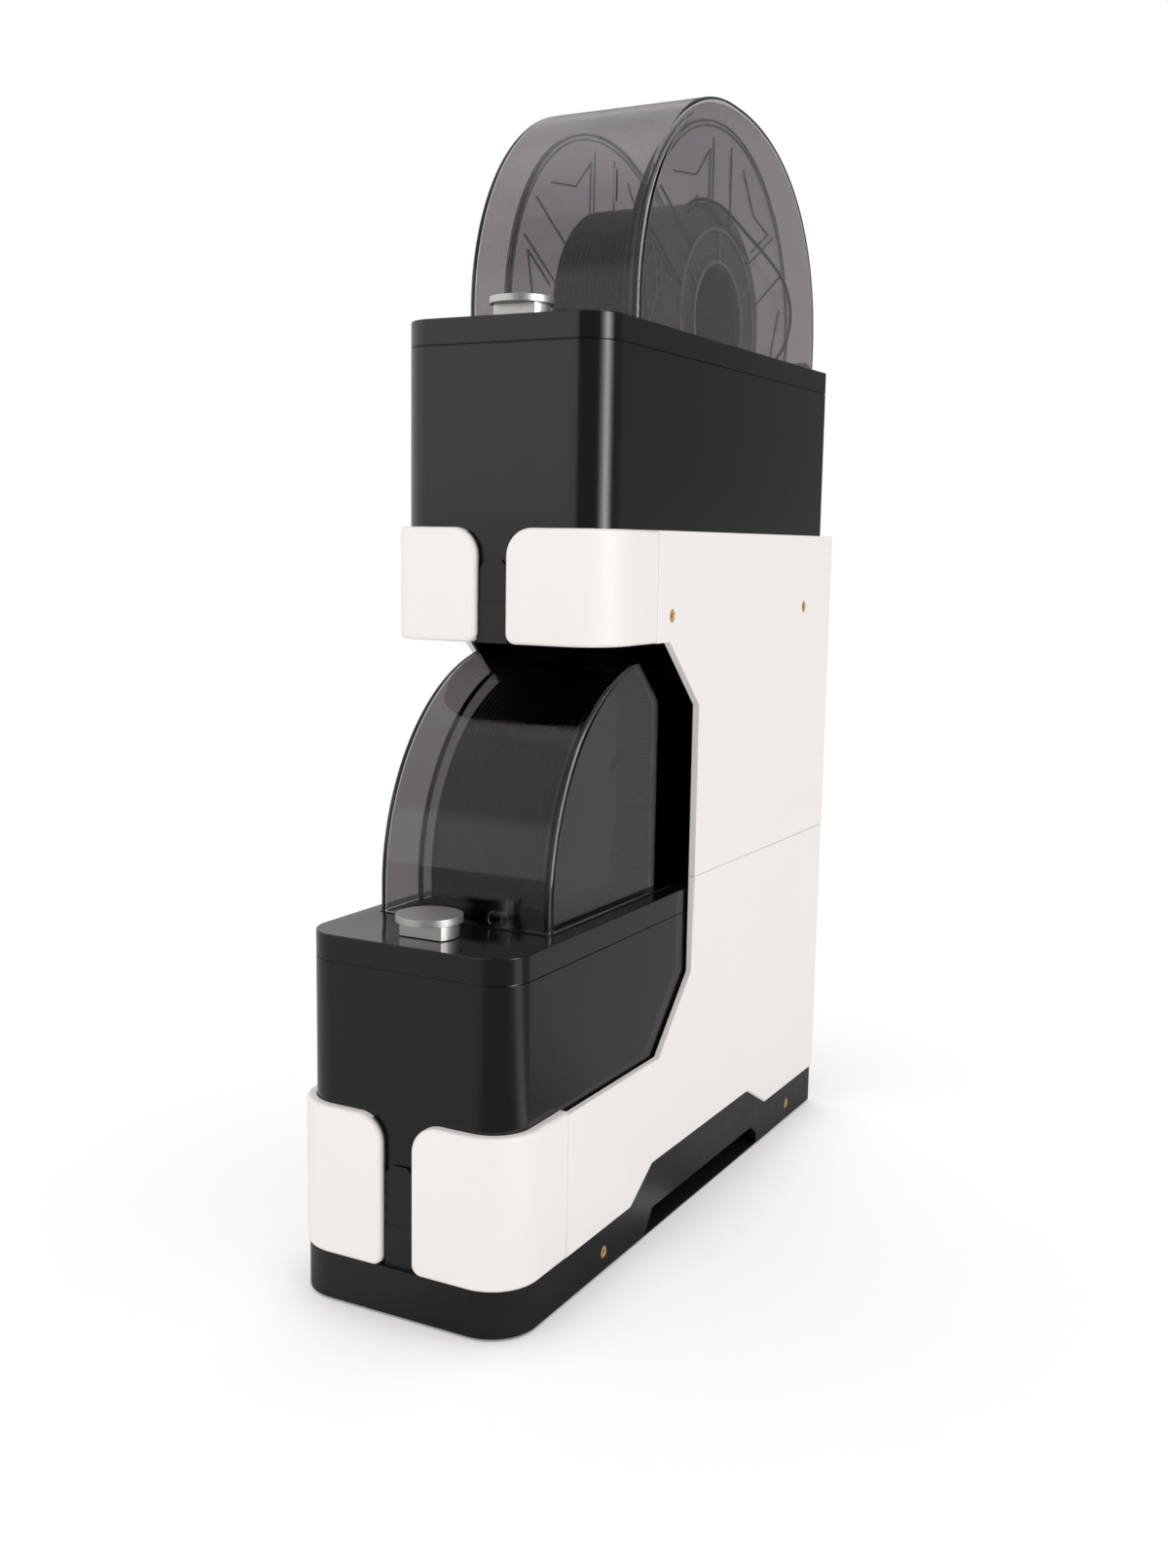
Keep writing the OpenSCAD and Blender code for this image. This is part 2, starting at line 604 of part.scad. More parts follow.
module spool() color("#8a888a90") translate([0, spool_y, axis_z]) rotate([0, 90, 0]) difference() {
    union() {
        for (x = [-spool_w / 2, spool_w / 2 - flange_t]) translate([0, 0, x]) cylinder(h = flange_t, r = flange_r, $fn = 96);
        translate([0, 0, -spool_w / 2]) cylinder(h = spool_w, r = hub_r);
    }
    translate([0, 0, -spool_w / 2 - 1]) cylinder(h = spool_w + 2, r = hub_bore_r);
    // slots just outside a part-used winding, and the hole that parks the filament's end
    for (i = [0 : 5]) rotate([0, 0, flange_slot_a + 60 * i])
        translate([-flange_slot[0] / 2, up_wound_d / 2 - 1, -spool_w / 2 - 1])
            cube([flange_slot[0], flange_slot[1], spool_w + 2]);
    translate([-park_hole[1], park_hole[0], spool_w / 2 - flange_t - 0.4]) cylinder(h = flange_t + 1, r = park_hole_r);
}

module filament(wound_d) color("#2a2a2c") translate([0, spool_y, axis_z]) rotate([0, 90, 0]) difference() {
    cylinder(h = spool_w - 2 * flange_t - 2, r = wound_d / 2, center = true);
    cylinder(h = spool_w, r = hub_r, center = true);
}

// Ring of the loose end's tube at point i, square to the route
function route_dir(i) = let (a = STRAND[max(i - 1, 0)], b = STRAND[min(i + 1, len(STRAND) - 1)]) (b - a) / norm(b - a);
function tube_ring(i, r) = let (d = route_dir(i), u = cross(d, [1, 0, 0]) / norm(cross(d, [1, 0, 0])), v = cross(d, u))
    [for (k = [0 : STRAND_SIDES - 1]) let (a = 360 * k / STRAND_SIDES) STRAND[i] + r * (cos(a) * u + sin(a) * v)];

module strand() color("#2a2a2c") translate([0, spool_y, axis_z]) {
    n = len(STRAND);
    m = STRAND_SIDES;
    points = [for (i = [0 : n - 1]) each tube_ring(i, strand_d / 2)];
    walls = [for (i = [0 : n - 2], k = [0 : m - 1])
        [i * m + k, (i + 1) * m + k, (i + 1) * m + (k + 1) % m, i * m + (k + 1) % m]];
    first = [for (k = [0 : m - 1]) k];
    last = [for (k = [m - 1 : -1 : 0]) (n - 1) * m + k];
    polyhedron(points, concat(walls, [first], [last]), convexity = 6);
}

// ---------------------------------------------------------------- dryer: inside

module cradle() color("#39383a") difference() {
    union() {
        block([-cradle_x[1], cradle_y[0], cover_t], [cradle_x[1], cradle_y[1], cover_t + 2]);
        for (s = [-1, 1]) mirrored(s) {
            block([cradle_x[0], cradle_y[0], cover_t], [cradle_x[1], cradle_y[1], cover_t + 17]);
            for (dy = [-roller_dy, roller_dy])
                block([cradle_x[0], spool_y + dy - 7, cover_t], [cradle_x[1], spool_y + dy + 7, roller_z + 7]);
        }
    }
    for (dy = [-roller_dy, roller_dy])
        rod_x(-cradle_x[1] - 1, cradle_x[1] + 1, spool_y + dy, roller_z, axle_r + run_fit);
}

module roller(dy) {
    rod_x(-cradle_x[1], cradle_x[1], spool_y + dy, roller_z, axle_r);
    rod_x(-drum_x[1], drum_x[1], spool_y + dy, roller_z, axle_r + 3);
    for (s = [-1, 1]) mirrored(s) rod_x(drum_x[0], drum_x[1], spool_y + dy, roller_z, roller_r);
}

module front_roller() color("#4a484a") roller(-roller_dy);
module rear_roller() color("#4a484a") roller(roller_dy);

// Gear motor with its mounting plate, output shaft and the idler's pin
module feed_motor() color("#8f8f8c") {
    block([14, wheel_y - 6, cover_t], [42, wheel_y + 6, drive_z - 4]);
    rod_x(11.5, 44, wheel_y, drive_z, 8);
    block([9, wheel_y - 9, cover_t], [11.5, wheel_y + 9, idler_z + 5]);
    rod_x(-6, 12, wheel_y, drive_z, shaft_r);
    rod_x(-6, 10, wheel_y, idler_z, shaft_r);
}

// Wheel with a shallow knurl that grips the filament
module feed_wheel(z) {
    teeth = 24;
    translate([-4, wheel_y, z]) rotate([0, 90, 0]) difference() {
        linear_extrude(8) polygon([for (i = [0 : 2 * teeth - 1])
            let (a = 180 * i / teeth, r = wheel_r - (i % 2) * 0.6) [r * cos(a), r * sin(a)]]);
        translate([0, 0, -1]) cylinder(h = 10, r = shaft_r + run_fit);
    }
}

module drive_wheel() color("#b9b9b5") feed_wheel(drive_z);
module idler_wheel() color("#b9b9b5") feed_wheel(idler_z);

module heater() color("#a8a8a6") translate([0, fan_y, cover_t + fan_h]) {
    s = fan_side;
    difference() {
        block([-s / 2, -s / 2, 0], [s / 2, s / 2, heater_h]);
        block([-s / 2 + 3, -s / 2 + 3, -1], [s / 2 - 3, s / 2 - 3, heater_h + 1]);
    }
    fins = 9;
    for (i = [1 : fins]) {
        x = -s / 2 + 3 + (s - 6) * i / (fins + 1);
        block([x - 0.6, -s / 2 + 2, 0], [x + 0.6, s / 2 - 2, heater_h]);
    }
}

module fan_housing() color("#1d1d1e") translate([0, fan_y, cover_t]) {
    s = fan_side;
    difference() {
        block([-s / 2, -s / 2, 0], [s / 2, s / 2, fan_h]);
        translate([0, 0, 2]) cylinder(h = fan_h, r = fan_bore);
        for (x = [-1, 1], y = [-1, 1]) translate([x * (s / 2 - 4), y * (s / 2 - 4), -1]) cylinder(h = fan_h + 2, r = 1.7);
    }
    translate([0, 0, 1]) cylinder(h = fan_h - 3, r = shaft_r);
}

module fan_impeller() color("#2c2c2e") translate([0, fan_y, cover_t]) difference() {
    union() {
        translate([0, 0, 2.5]) cylinder(h = fan_h - 4, r = 10);
        for (i = [0 : 6]) rotate([0, 0, i * 360 / 7]) translate([8, 0, fan_h / 2])
            rotate([35, 0, 0]) block([0, -5, -0.7], [fan_bore - 10.5, 5, 0.7]);
    }
    cylinder(h = fan_h, r = shaft_r + run_fit);
}

module desiccant_box() color("#d8d6d0") difference() {
    block([-38, shell_t + 2, cover_t], [38, shell_t + 14, cover_t + 67]);
    for (i = [0 : 8]) block([-34.5 + 8 * i, shell_t - 1, cover_t + 8], [-30 + 8 * i, shell_t + 4, cover_t + 60]);
    for (i = [0 : 8]) block([-34.5 + 8 * i, shell_t + 12, cover_t + 8], [-30 + 8 * i, shell_t + 16, cover_t + 60]);
}

module circuit_board() color("#2c5a3c") {
    z = cover_t + post_h;
    block([board_x[0], board_y[0], z], [board_x[1], board_y[1], z + board_t]);
    block([board_x[0] + 10, board_y[0] + 8, z + 1], [board_x[0] + 20, board_y[0] + 18, z + board_t + 1.2]);
    block([board_x[0] + 26, board_y[0] + 6, z + 1], [board_x[0] + 34, board_y[0] + 16, z + board_t + 3]);
}

// Collar for a 4 mm tube and the power socket
module rear_ports() color("#1a1a1a") {
    translate([0, unit_d, outlet_z]) rotate([90, 0, 0]) difference() {
        cylinder(h = collar_len, r = collar_r);
        translate([0, 0, -1]) cylinder(h = collar_len + 2, r = outlet_r);
    }
    difference() {
        block([socket_x[0], unit_d - socket_deep, socket_z[0]], [socket_x[1], unit_d, socket_z[1]]);
        block([socket_x[0] + socket_wall, unit_d - socket_deep + socket_wall, socket_z[0] + socket_wall],
            [socket_x[1] - socket_wall, unit_d + 1, socket_z[1] - socket_wall]);
    }
    for (s = [-1, 1]) block([socket_mid[0] + s * contact_x - 1, unit_d - socket_deep + 1, socket_mid[1] - 2],
        [socket_mid[0] + s * contact_x + 1, unit_d - 2, socket_mid[1] + 2]);
}

// ---------------------------------------------------------------- nodes

base();
base_feet();
lower_tray();
upper_tray();
back_wall();
side_liners();
lower_left_panel();
lower_right_panel();
upper_left_panel();
upper_right_panel();
lower_left_clip();
lower_right_clip();
upper_left_clip();
upper_right_clip();
panel_screws();

at_low() shell();  // low_shell
at_low() deck();  // low_deck
at_low() bottom_cover();  // low_bottom_cover
at_low() lid_seal();  // low_lid_seal
at_low() lid();  // low_lid
at_low() hinge_pin();  // low_hinge_pin
at_low() knob();  // low_knob
at_low() latch_block();  // low_latch_block
at_low() spool();  // low_spool
at_low() filament(low_wound_d);  // low_filament
at_low() cradle();  // low_cradle
at_low() front_roller();  // low_front_roller
at_low() rear_roller();  // low_rear_roller
at_low() feed_motor();  // low_feed_motor
at_low() drive_wheel();  // low_drive_wheel
at_low() idler_wheel();  // low_idler_wheel
at_low() heater();  // low_heater
at_low() fan_housing();  // low_fan_housing
at_low() fan_impeller();  // low_fan_impeller
at_low() desiccant_box();  // low_desiccant_box
at_low() circuit_board();  // low_circuit_board
at_low() rear_ports();  // low_rear_ports

at_up() shell();  // up_shell
at_up() deck();  // up_deck
at_up() bottom_cover();  // up_bottom_cover
at_up() lid_seal();  // up_lid_seal
at_up() lid();  // up_lid
at_up() hinge_pin();  // up_hinge_pin
at_up() knob();  // up_knob
at_up() latch_block();  // up_latch_block
at_up() spool();  // up_spool
at_up() filament(up_wound_d);  // up_filament
at_up() strand();  // up_strand
at_up() cradle();  // up_cradle
at_up() front_roller();  // up_front_roller
at_up() rear_roller();  // up_rear_roller
at_up() feed_motor();  // up_feed_motor
at_up() drive_wheel();  // up_drive_wheel
at_up() idler_wheel();  // up_idler_wheel
at_up() heater();  // up_heater
at_up() fan_housing();  // up_fan_housing
at_up() fan_impeller();  // up_fan_impeller
at_up() desiccant_box();  // up_desiccant_box
at_up() circuit_board();  // up_circuit_board
at_up() rear_ports();  // up_rear_ports
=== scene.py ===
import json
import math

import bmesh
import bpy
from bpy.props import FloatProperty, FloatVectorProperty, IntProperty, PointerProperty
from mathutils import Matrix, Vector

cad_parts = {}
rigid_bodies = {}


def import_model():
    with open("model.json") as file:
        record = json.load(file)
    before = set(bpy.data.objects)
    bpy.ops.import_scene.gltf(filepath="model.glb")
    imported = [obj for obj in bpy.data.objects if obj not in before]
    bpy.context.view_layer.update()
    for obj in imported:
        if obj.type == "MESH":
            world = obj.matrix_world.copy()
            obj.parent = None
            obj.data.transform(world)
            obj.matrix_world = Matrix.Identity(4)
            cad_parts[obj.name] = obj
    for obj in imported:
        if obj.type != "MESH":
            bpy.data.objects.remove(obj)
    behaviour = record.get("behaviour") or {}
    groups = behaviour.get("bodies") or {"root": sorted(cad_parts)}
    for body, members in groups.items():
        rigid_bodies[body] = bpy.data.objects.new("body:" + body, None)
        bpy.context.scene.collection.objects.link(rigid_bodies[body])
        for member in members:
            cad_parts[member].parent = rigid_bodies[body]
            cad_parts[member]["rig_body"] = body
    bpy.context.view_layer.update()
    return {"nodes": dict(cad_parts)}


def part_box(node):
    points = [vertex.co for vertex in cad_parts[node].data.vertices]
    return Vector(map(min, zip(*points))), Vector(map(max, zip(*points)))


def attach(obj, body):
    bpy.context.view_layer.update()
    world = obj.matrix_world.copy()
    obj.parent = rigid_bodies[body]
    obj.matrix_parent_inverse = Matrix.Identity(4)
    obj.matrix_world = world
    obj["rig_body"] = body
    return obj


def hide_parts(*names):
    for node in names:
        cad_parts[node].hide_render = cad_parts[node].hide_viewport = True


bl_info = {
    "name": "Two-tier filament dryer",
    "version": (1, 0, 0),
    "blender": (4, 5, 0),
    "location": "3D View > Sidebar > Dryer",
    "description": "Finishes and detail for two filament dryers in a printed stand",
    "category": "Object",
}

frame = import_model()
NODES = frame["nodes"]
UNITS = ("low", "up")
MM = 0.001


# ---- places read from the frame

def span(name):
    """Lowest and highest corner of a CAD node."""
    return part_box(name)


def middle(name):
    low, high = span(name)
    return (low + high) / 2


def body_of(name):
    return NODES[name]["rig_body"]


def hex_colour(text):
    """sRGB hex to linear RGBA."""
    values = [int(text[i:i + 2], 16) / 255 for i in (1, 3, 5)]
    linear = [v / 12.92 if v <= 0.04045 else ((v + 0.055) / 1.055) ** 2.4 for v in values]
    return (*linear, 1.0)


# ---- settings

def amount(name, description, value, **more):
    return FloatProperty(name=name, description=description, default=value, **more)


def length(name, description, value):
    """A length, given in millimetres."""
    return amount(name, description, value * MM, unit="LENGTH")


def angle(name, description, value):
    return amount(name, description, value, subtype="ANGLE", unit="ROTATION")


class StandSettings(bpy.types.PropertyGroup):
    clip_round: length("Clip edge", "Rounding of the front clips' outer edges", 1.8)
    panel_round: length("Panel edge", "Rounding of the side panels' outer edges", 1.2)
    seam_share: amount("Seam share", "Share of the rounding that an edge at a seam gets", 0.22, subtype="FACTOR")
    base_round: length("Base edge", "Rounding of the base's outer edges", 1.4)
    plan_round: length("Plan corner", "Radius of the stand's upright front corners", 22.8)
    back_round: length("Back corner", "Radius of the stand's upright back corners", 3)


class CaseSettings(bpy.types.PropertyGroup):
    deck_round: length("Deck edge", "Rounding of the deck's outer edge", 1.1)
    corner: length("Case corner", "Radius of the case's upright front corners", 18)
    back_corner: length("Back corner", "Radius of the case's upright back corners", 4)


class LidSettings(bpy.types.PropertyGroup):
    wall: length("Wall", "Thickness of the clear lid", 2.6)
    fillet: length("Side fillet", "Rounding between the lid's crown and its sides", 4)
    crown: length("Crown", "Crown of the lid, behind its front foot", 106)
    leg: length("Leg", "Upright part at the lid's foot", 10.5)
    back_power: amount("Back roundness", "2 is an ellipse, more is fuller", 2.24)
    heel: length("Heel", "Bevel at the back of the foot", 3)
    steps: IntProperty(name="Steps", description="Steps along each half of the lid's arch", default=44)


class SpoolSettings(bpy.types.PropertyGroup):
    rim: length("Rim band", "Width of the raised band at the flange's edge", 3.6)
    flange: length("Flange", "Thickness of a flange", 3)
    bore: length("Bore", "Radius of the hub's bore", 28)
    barrel: length("Barrel", "Radius of the hub's barrel", 34)
    relief: length("Relief", "Height of the raised lines on a flange", 0.9)
    line: length("Line width", "Width of the raised lines on a flange", 1.1)
    outer_ring: length("Outer hub ring", "Radius of the outer hub ring", 47)
    inner_ring: length("Inner hub ring", "Radius of the inner hub ring", 30.6)
    arm_half: length("Arm", "Half the width of an arm", 11.5)
    arms: IntProperty(name="Arms", description="Arms of the moulded pattern on a flange", default=6)
    pitch: length("Pitch", "Spacing of the wound filament, drawn coarser than its 1.75 mm so that single turns show",
                  2.4)
    strand: length("Filament", "Diameter of the filament", 1.75)


class StudioSettings(bpy.types.PropertyGroup):
    camera_at: FloatVectorProperty(name="Camera", description="Place of the camera", subtype="TRANSLATION",
                                   default=(0.38627, -0.73697, 0.34305))
    yaw: angle("Yaw", "Turn of the camera to its left", 0.4904881)
    pitch: angle("Pitch", "Tilt of the camera below the horizon", 0.1483507)
    roll: angle("Roll", "Roll of the camera", -0.0163631)
    lens: amount("Lens", "Focal length in mm on a 36 mm sensor", 36.70)
    ambient: amount("Ambient", "Light of the studio's walls on matt surfaces", 0.88)
    overhead: amount("Overhead", "Light of the ceiling on matt surfaces", 1.1)
    softbox: amount("Softbox", "Radiance of the tall softbox", 6.8)


SETTINGS = {
    "dryer_stand": StandSettings, "dryer_case": CaseSettings, "dryer_lid": LidSettings,
    "dryer_spool": SpoolSettings, "dryer_studio": StudioSettings,
}


# ---- mesh tools

def new_object(name, mesh):
    made = bpy.data.objects.new(name, mesh)
    bpy.context.scene.collection.objects.link(made)
    return made


def from_bmesh(name, bm):
    mesh = bpy.data.meshes.new(name)
    bm.to_mesh(mesh)
    bm.free()
    return new_object(name, mesh)


def apply_modifiers(obj):
    """Turns the evaluated object into a plain mesh and removes its modifiers."""
    bpy.context.view_layer.update()
    shaped = obj.evaluated_get(bpy.context.evaluated_depsgraph_get())
    mesh = bpy.data.meshes.new_from_object(shaped)
    obj.modifiers.clear()
    obj.data = mesh
    return obj


CRISP = 40        # degrees: edges sharper than this stay crisp on pieces that are built up here


def shade(obj, angle=50):
    """Smooth shading that keeps edges over an angle sharp and large faces flat."""
    obj.data.shade_smooth()
    obj.data.set_sharp_from_angle(angle=math.radians(angle))
    weighted = obj.modifiers.new("Weighted", "WEIGHTED_NORMAL")
    weighted.keep_sharp = True
    return apply_modifiers(obj)


def finish(obj, paint, slot_name, body, *stands_for):
    """Gives a piece its finish and body, and hides the CAD nodes that it stands for. slot_name is not used."""
    obj.data.materials.clear()
    obj.data.materials.append(FINISH[paint])
    if stands_for:
        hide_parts(*stands_for)
    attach(obj, body)
    return obj


def rim_distance(point, low, high, front_corner, back_corner):
    """Distance of a point from the outline of a plan with rounded corners."""
    corner = front_corner if point.y < (low.y + high.y) / 2 else back_corner
    half = Vector(((high.x - low.x) / 2 - corner, (high.y - low.y) / 2 - corner))
    dx = abs(point.x - (low.x + high.x) / 2) - half.x
    dy = abs(point.y - (low.y + high.y) / 2) - half.y
    outside = math.hypot(max(dx, 0), max(dy, 0))
    return outside + min(max(dx, dy), 0) - corner


def everywhere(point):
    return 1.0


def softened(name, width, weight=everywhere, segments=3, sharp=32):
    """Copy of a CAD node with its sharp edges rounded. weight says how much of the width an edge gets."""
    bm = bmesh.new()
    bm.from_mesh(NODES[name].data)
    bmesh.ops.remove_doubles(bm, verts=bm.verts, dist=0.002 * MM)
    bmesh.ops.dissolve_limit(bm, angle_limit=math.radians(0.6), verts=bm.verts, edges=bm.edges)
    layer = bm.edges.layers.float.new("bevel_weight_edge")
    for edge in bm.edges:
        if len(edge.link_faces) == 2 and edge.calc_face_angle(0) > math.radians(sharp):
            edge[layer] = weight((edge.verts[0].co + edge.verts[1].co) / 2)
    piece = from_bmesh(f"{name}_rounded", bm)
    bevel = piece.modifiers.new("Rounding", "BEVEL")
    bevel.limit_method = "WEIGHT"
    bevel.width = width
    bevel.segments = segments
    bevel.use_clamp_overlap = True
    apply_modifiers(piece)
    return shade(piece)


def dress(name, paint, width, slot_name=None, **how):
    """Puts a rounded copy of a CAD node in its place. The slot name is handed on to finish, which does not use it."""
    finish(softened(name, width, **how), paint, slot_name or paint, body_of(name), name)


def wheel(name):
    """Lowest and highest corner, axis in y and z, and radius of a CAD node that is round about X."""
    low, high = span(name)
    return low, high, *middle(name).yz, (high.z - low.z) / 2


def lathe(bm, profile, y, z, steps, turn=0.0):
    """Closed ring round an axis along X; profile is a closed loop of (x, radius), anticlockwise."""
    rings = []
    for i in range(steps):
        a = turn + 2 * math.pi * i / steps
        rings.append([bm.verts.new((x, y + r * math.sin(a), z + r * math.cos(a))) for x, r in profile])
    for i in range(steps):
        here, after = rings[i], rings[(i + 1) % steps]
        for j in range(len(profile)):
            k = (j + 1) % len(profile)
            bm.faces.new((here[j], after[j], after[k], here[k]))


def plate(bm, low, high):
    """Box between two corners."""
    centre = (Vector(low) + Vector(high)) / 2
    size = Vector(high) - Vector(low)
    matrix = Matrix.Translation(centre) @ Matrix.Diagonal((*size, 1))
    bmesh.ops.create_cube(bm, size=1, matrix=matrix)


# ---- Geometry Nodes

def node(tree, kind, links=None, **settings):
    """Adds a node. links maps a socket's name or number to a value or to the socket that feeds it."""
    made = tree.nodes.new(kind)
    for key, value in settings.items():
        setattr(made, key, value)
    for key, value in (links or {}).items():
        if isinstance(value, bpy.types.NodeSocket):
            tree.links.new(value, made.inputs[key])
        else:
            made.inputs[key].default_value = value
    return made


def maths(tree, operation, *values):
    """Result of a Math node."""
    return node(tree, "ShaderNodeMath", dict(enumerate(values)), operation=operation).outputs[0]


def blend(tree, factor, one, other, **settings):
    """Colour that a Mix node makes of two."""
    return node(tree, "ShaderNodeMix", {"Factor": factor, 6: one, 7: other}, data_type="RGBA",
                **settings).outputs[2]


def new_tree(name, **sockets):
    """A Geometry Nodes tree and its inputs, which are given as kinds of socket by label."""
    tree = bpy.data.node_groups.new(name, "GeometryNodeTree")
    for label, kind in sockets.items():
        tree.interface.new_socket(label, in_out="INPUT", socket_type=f"NodeSocket{kind}")
    tree.interface.new_socket("Geometry", in_out="OUTPUT", socket_type="NodeSocketGeometry")
    return tree, node(tree, "NodeGroupInput").outputs


def copies_on(tree, points, piece, rotation, paint):
    """Ends a tree with a copy of an object on each point, as plain geometry in one material."""
    source = node(tree, "GeometryNodeObjectInfo", {"Object": piece}).outputs["Geometry"]
    copies = node(tree, "GeometryNodeInstanceOnPoints", {"Points": points, "Instance": source, "Rotation": rotation})
    real = node(tree, "GeometryNodeRealizeInstances", {0: copies.outputs[0]})
    painted = node(tree, "GeometryNodeSetMaterial", {"Geometry": real.outputs[0], "Material": paint})
    node(tree, "NodeGroupOutput", {0: painted.outputs[0]})
    return tree


def copies_tree():
    """Copies of a piece at a centre, each turned about X by a step more than the one before."""
    tree, start = new_tree("Copies round an axis", Piece="Object", Copies="Int", Centre="Vector", Step="Float",
                           Finish="Material")
    points = node(tree, "GeometryNodePoints", {"Count": start["Copies"], "Position": start["Centre"]})
    turn = maths(tree, "MULTIPLY", node(tree, "GeometryNodeInputIndex").outputs[0], start["Step"])
    angles = node(tree, "ShaderNodeCombineXYZ", {"X": turn})
    return copies_on(tree, points.outputs[0], start["Piece"], angles.outputs[0], start["Finish"])


SCREW_SEED = 7        # for how far each screw is turned in


def screws_tree():
    """A screw on each point of a mesh; those left of the middle are turned round to face outwards."""
    tree, start = new_tree("Screws on points", Points="Geometry", Screw="Object", Turn="Float", Finish="Material")
    place = node(tree, "GeometryNodeInputPosition").outputs[0]
    left = maths(tree, "LESS_THAN", node(tree, "ShaderNodeSeparateXYZ", {0: place}).outputs["X"], 0.0)
    about = maths(tree, "MULTIPLY", left, math.pi)
    slot_turn = node(tree, "FunctionNodeRandomValue", {"Max": start["Turn"], "Seed": SCREW_SEED},
                     data_type="FLOAT")
    angles = node(tree, "ShaderNodeCombineXYZ", {"X": slot_turn.outputs["Value"], "Z": about})
    return copies_on(tree, start["Points"], start["Screw"], angles.outputs[0], start["Finish"])


def grow(obj, tree, **values):
    """Runs a Geometry Nodes tree on an object and keeps the result as its mesh."""
    modifier = obj.modifiers.new("Nodes", "NODES")
    modifier.node_group = tree
    for item in tree.interface.items_tree:
        if item.in_out == "INPUT" and item.name in values:
            modifier[item.identifier] = values[item.name]
    return apply_modifiers(obj)


# ---- materials

def material(name):
    """A new material with its node tree, its shader and its object coordinates."""
    made = bpy.data.materials.new(name)
    made.use_nodes = True
    tree = made.node_tree
    shader = tree.nodes["Principled BSDF"]
    coords = node(tree, "ShaderNodeTexCoord").outputs["Object"]
    return made, tree, shader, coords


NAMED = {"ior": "IOR", "transmission": "Transmission Weight"}


def set_shader(shader, **values):
    for key, value in values.items():
        shader.inputs[NAMED.get(key, key.capitalize())].default_value = value


def noise(tree, vector, size, detail=2.0):
    """Noise from 0 to 1 over patches of a size in metres."""
    return node(tree, "ShaderNodeTexNoise", {"Vector": vector, "Scale": 1 / size, "Detail": detail}).outputs["Fac"]


def mottled(tree, coords, one, other, size):
    """Colour that drifts between two hexes over patches of a size in metres."""
    return blend(tree, noise(tree, coords, size, 3.0), hex_colour(one), hex_colour(other))


def varied(tree, coords, low, high, size):
    """Number that drifts between two values over patches of a size in metres."""
    spread = node(tree, "ShaderNodeMapRange", {"Value": noise(tree, coords, size), "From Min": 0.3, "From Max": 0.7,
                                               "To Min": low, "To Max": high})
    return spread.outputs[0]


def bump(tree, shader, height, depth):
    """Raises a surface by a height from 0 to 1 times a depth in metres."""
    made = node(tree, "ShaderNodeBump", {"Strength": 1.0, "Distance": depth, "Height": height})
    tree.links.new(made.outputs[0], shader.inputs["Normal"])


def plain_plastic(name, one, other, roughness, grain_size=0.5 * MM, grain_depth=0.006 * MM):
    """A moulded plastic: two close colours, drifting gloss and a fine grain."""
    made, tree, shader, coords = material(name)
    tree.links.new(mottled(tree, coords, one, other, 30 * MM), shader.inputs["Base Color"])
    tree.links.new(varied(tree, coords, roughness * 0.94, roughness * 1.06, 12 * MM), shader.inputs["Roughness"])
    bump(tree, shader, noise(tree, coords, grain_size), grain_depth)
    set_shader(shader, ior=1.5)
    return made


LAYER = 1.6 * MM        # from one printed line to the next; the real 0.2 mm layers are too fine to show


def printed_plastic(name, one, other, roughness, depth):
    """A 3D-printed plastic: faint horizontal layer lines and slightly uneven gloss."""
    made, tree, shader, coords = material(name)
    tree.links.new(mottled(tree, coords, one, other, 45 * MM), shader.inputs["Base Color"])
    tree.links.new(varied(tree, coords, roughness * 0.92, roughness * 1.08, 8 * MM), shader.inputs["Roughness"])
    wave = node(tree, "ShaderNodeTexWave", {"Vector": coords, "Scale": 2 * math.pi / (20 * LAYER),
                                            "Distortion": 0.4, "Detail": 1.0},
                wave_type="BANDS", bands_direction="Z")
    bump(tree, shader, wave.outputs["Fac"], depth)
    set_shader(shader, ior=1.46)
    return made


BRUSHED = 0.4 * MM        # width of a brushed or turned line


def bare_metal(name, one, other, roughness, stretch=(1, 1, 1), metal=1.0):
    """A bare metal: its colour, and a brushed or turned finish along the stretched axis."""
    made, tree, shader, coords = material(name)
    drawn = node(tree, "ShaderNodeMapping", {"Vector": coords, "Scale": stretch}).outputs[0]
    tone = blend(tree, noise(tree, drawn, BRUSHED), hex_colour(one), hex_colour(other))
    tree.links.new(tone, shader.inputs["Base Color"])
    tree.links.new(varied(tree, drawn, roughness * 0.85, roughness * 1.15, BRUSHED * 2), shader.inputs["Roughness"])
    set_shader(shader, metallic=metal)
    return made


def clear_plastic(name, one, other, roughness, clearness, ior):
    """A see-through plastic: its tint drifts between two close hexes; clearness is what passes the light."""
    made, tree, shader, coords = material(name)
    tree.links.new(mottled(tree, coords, one, other, 40 * MM), shader.inputs["Base Color"])
    set_shader(shader, roughness=roughness, transmission=clearness, ior=ior)
    return made


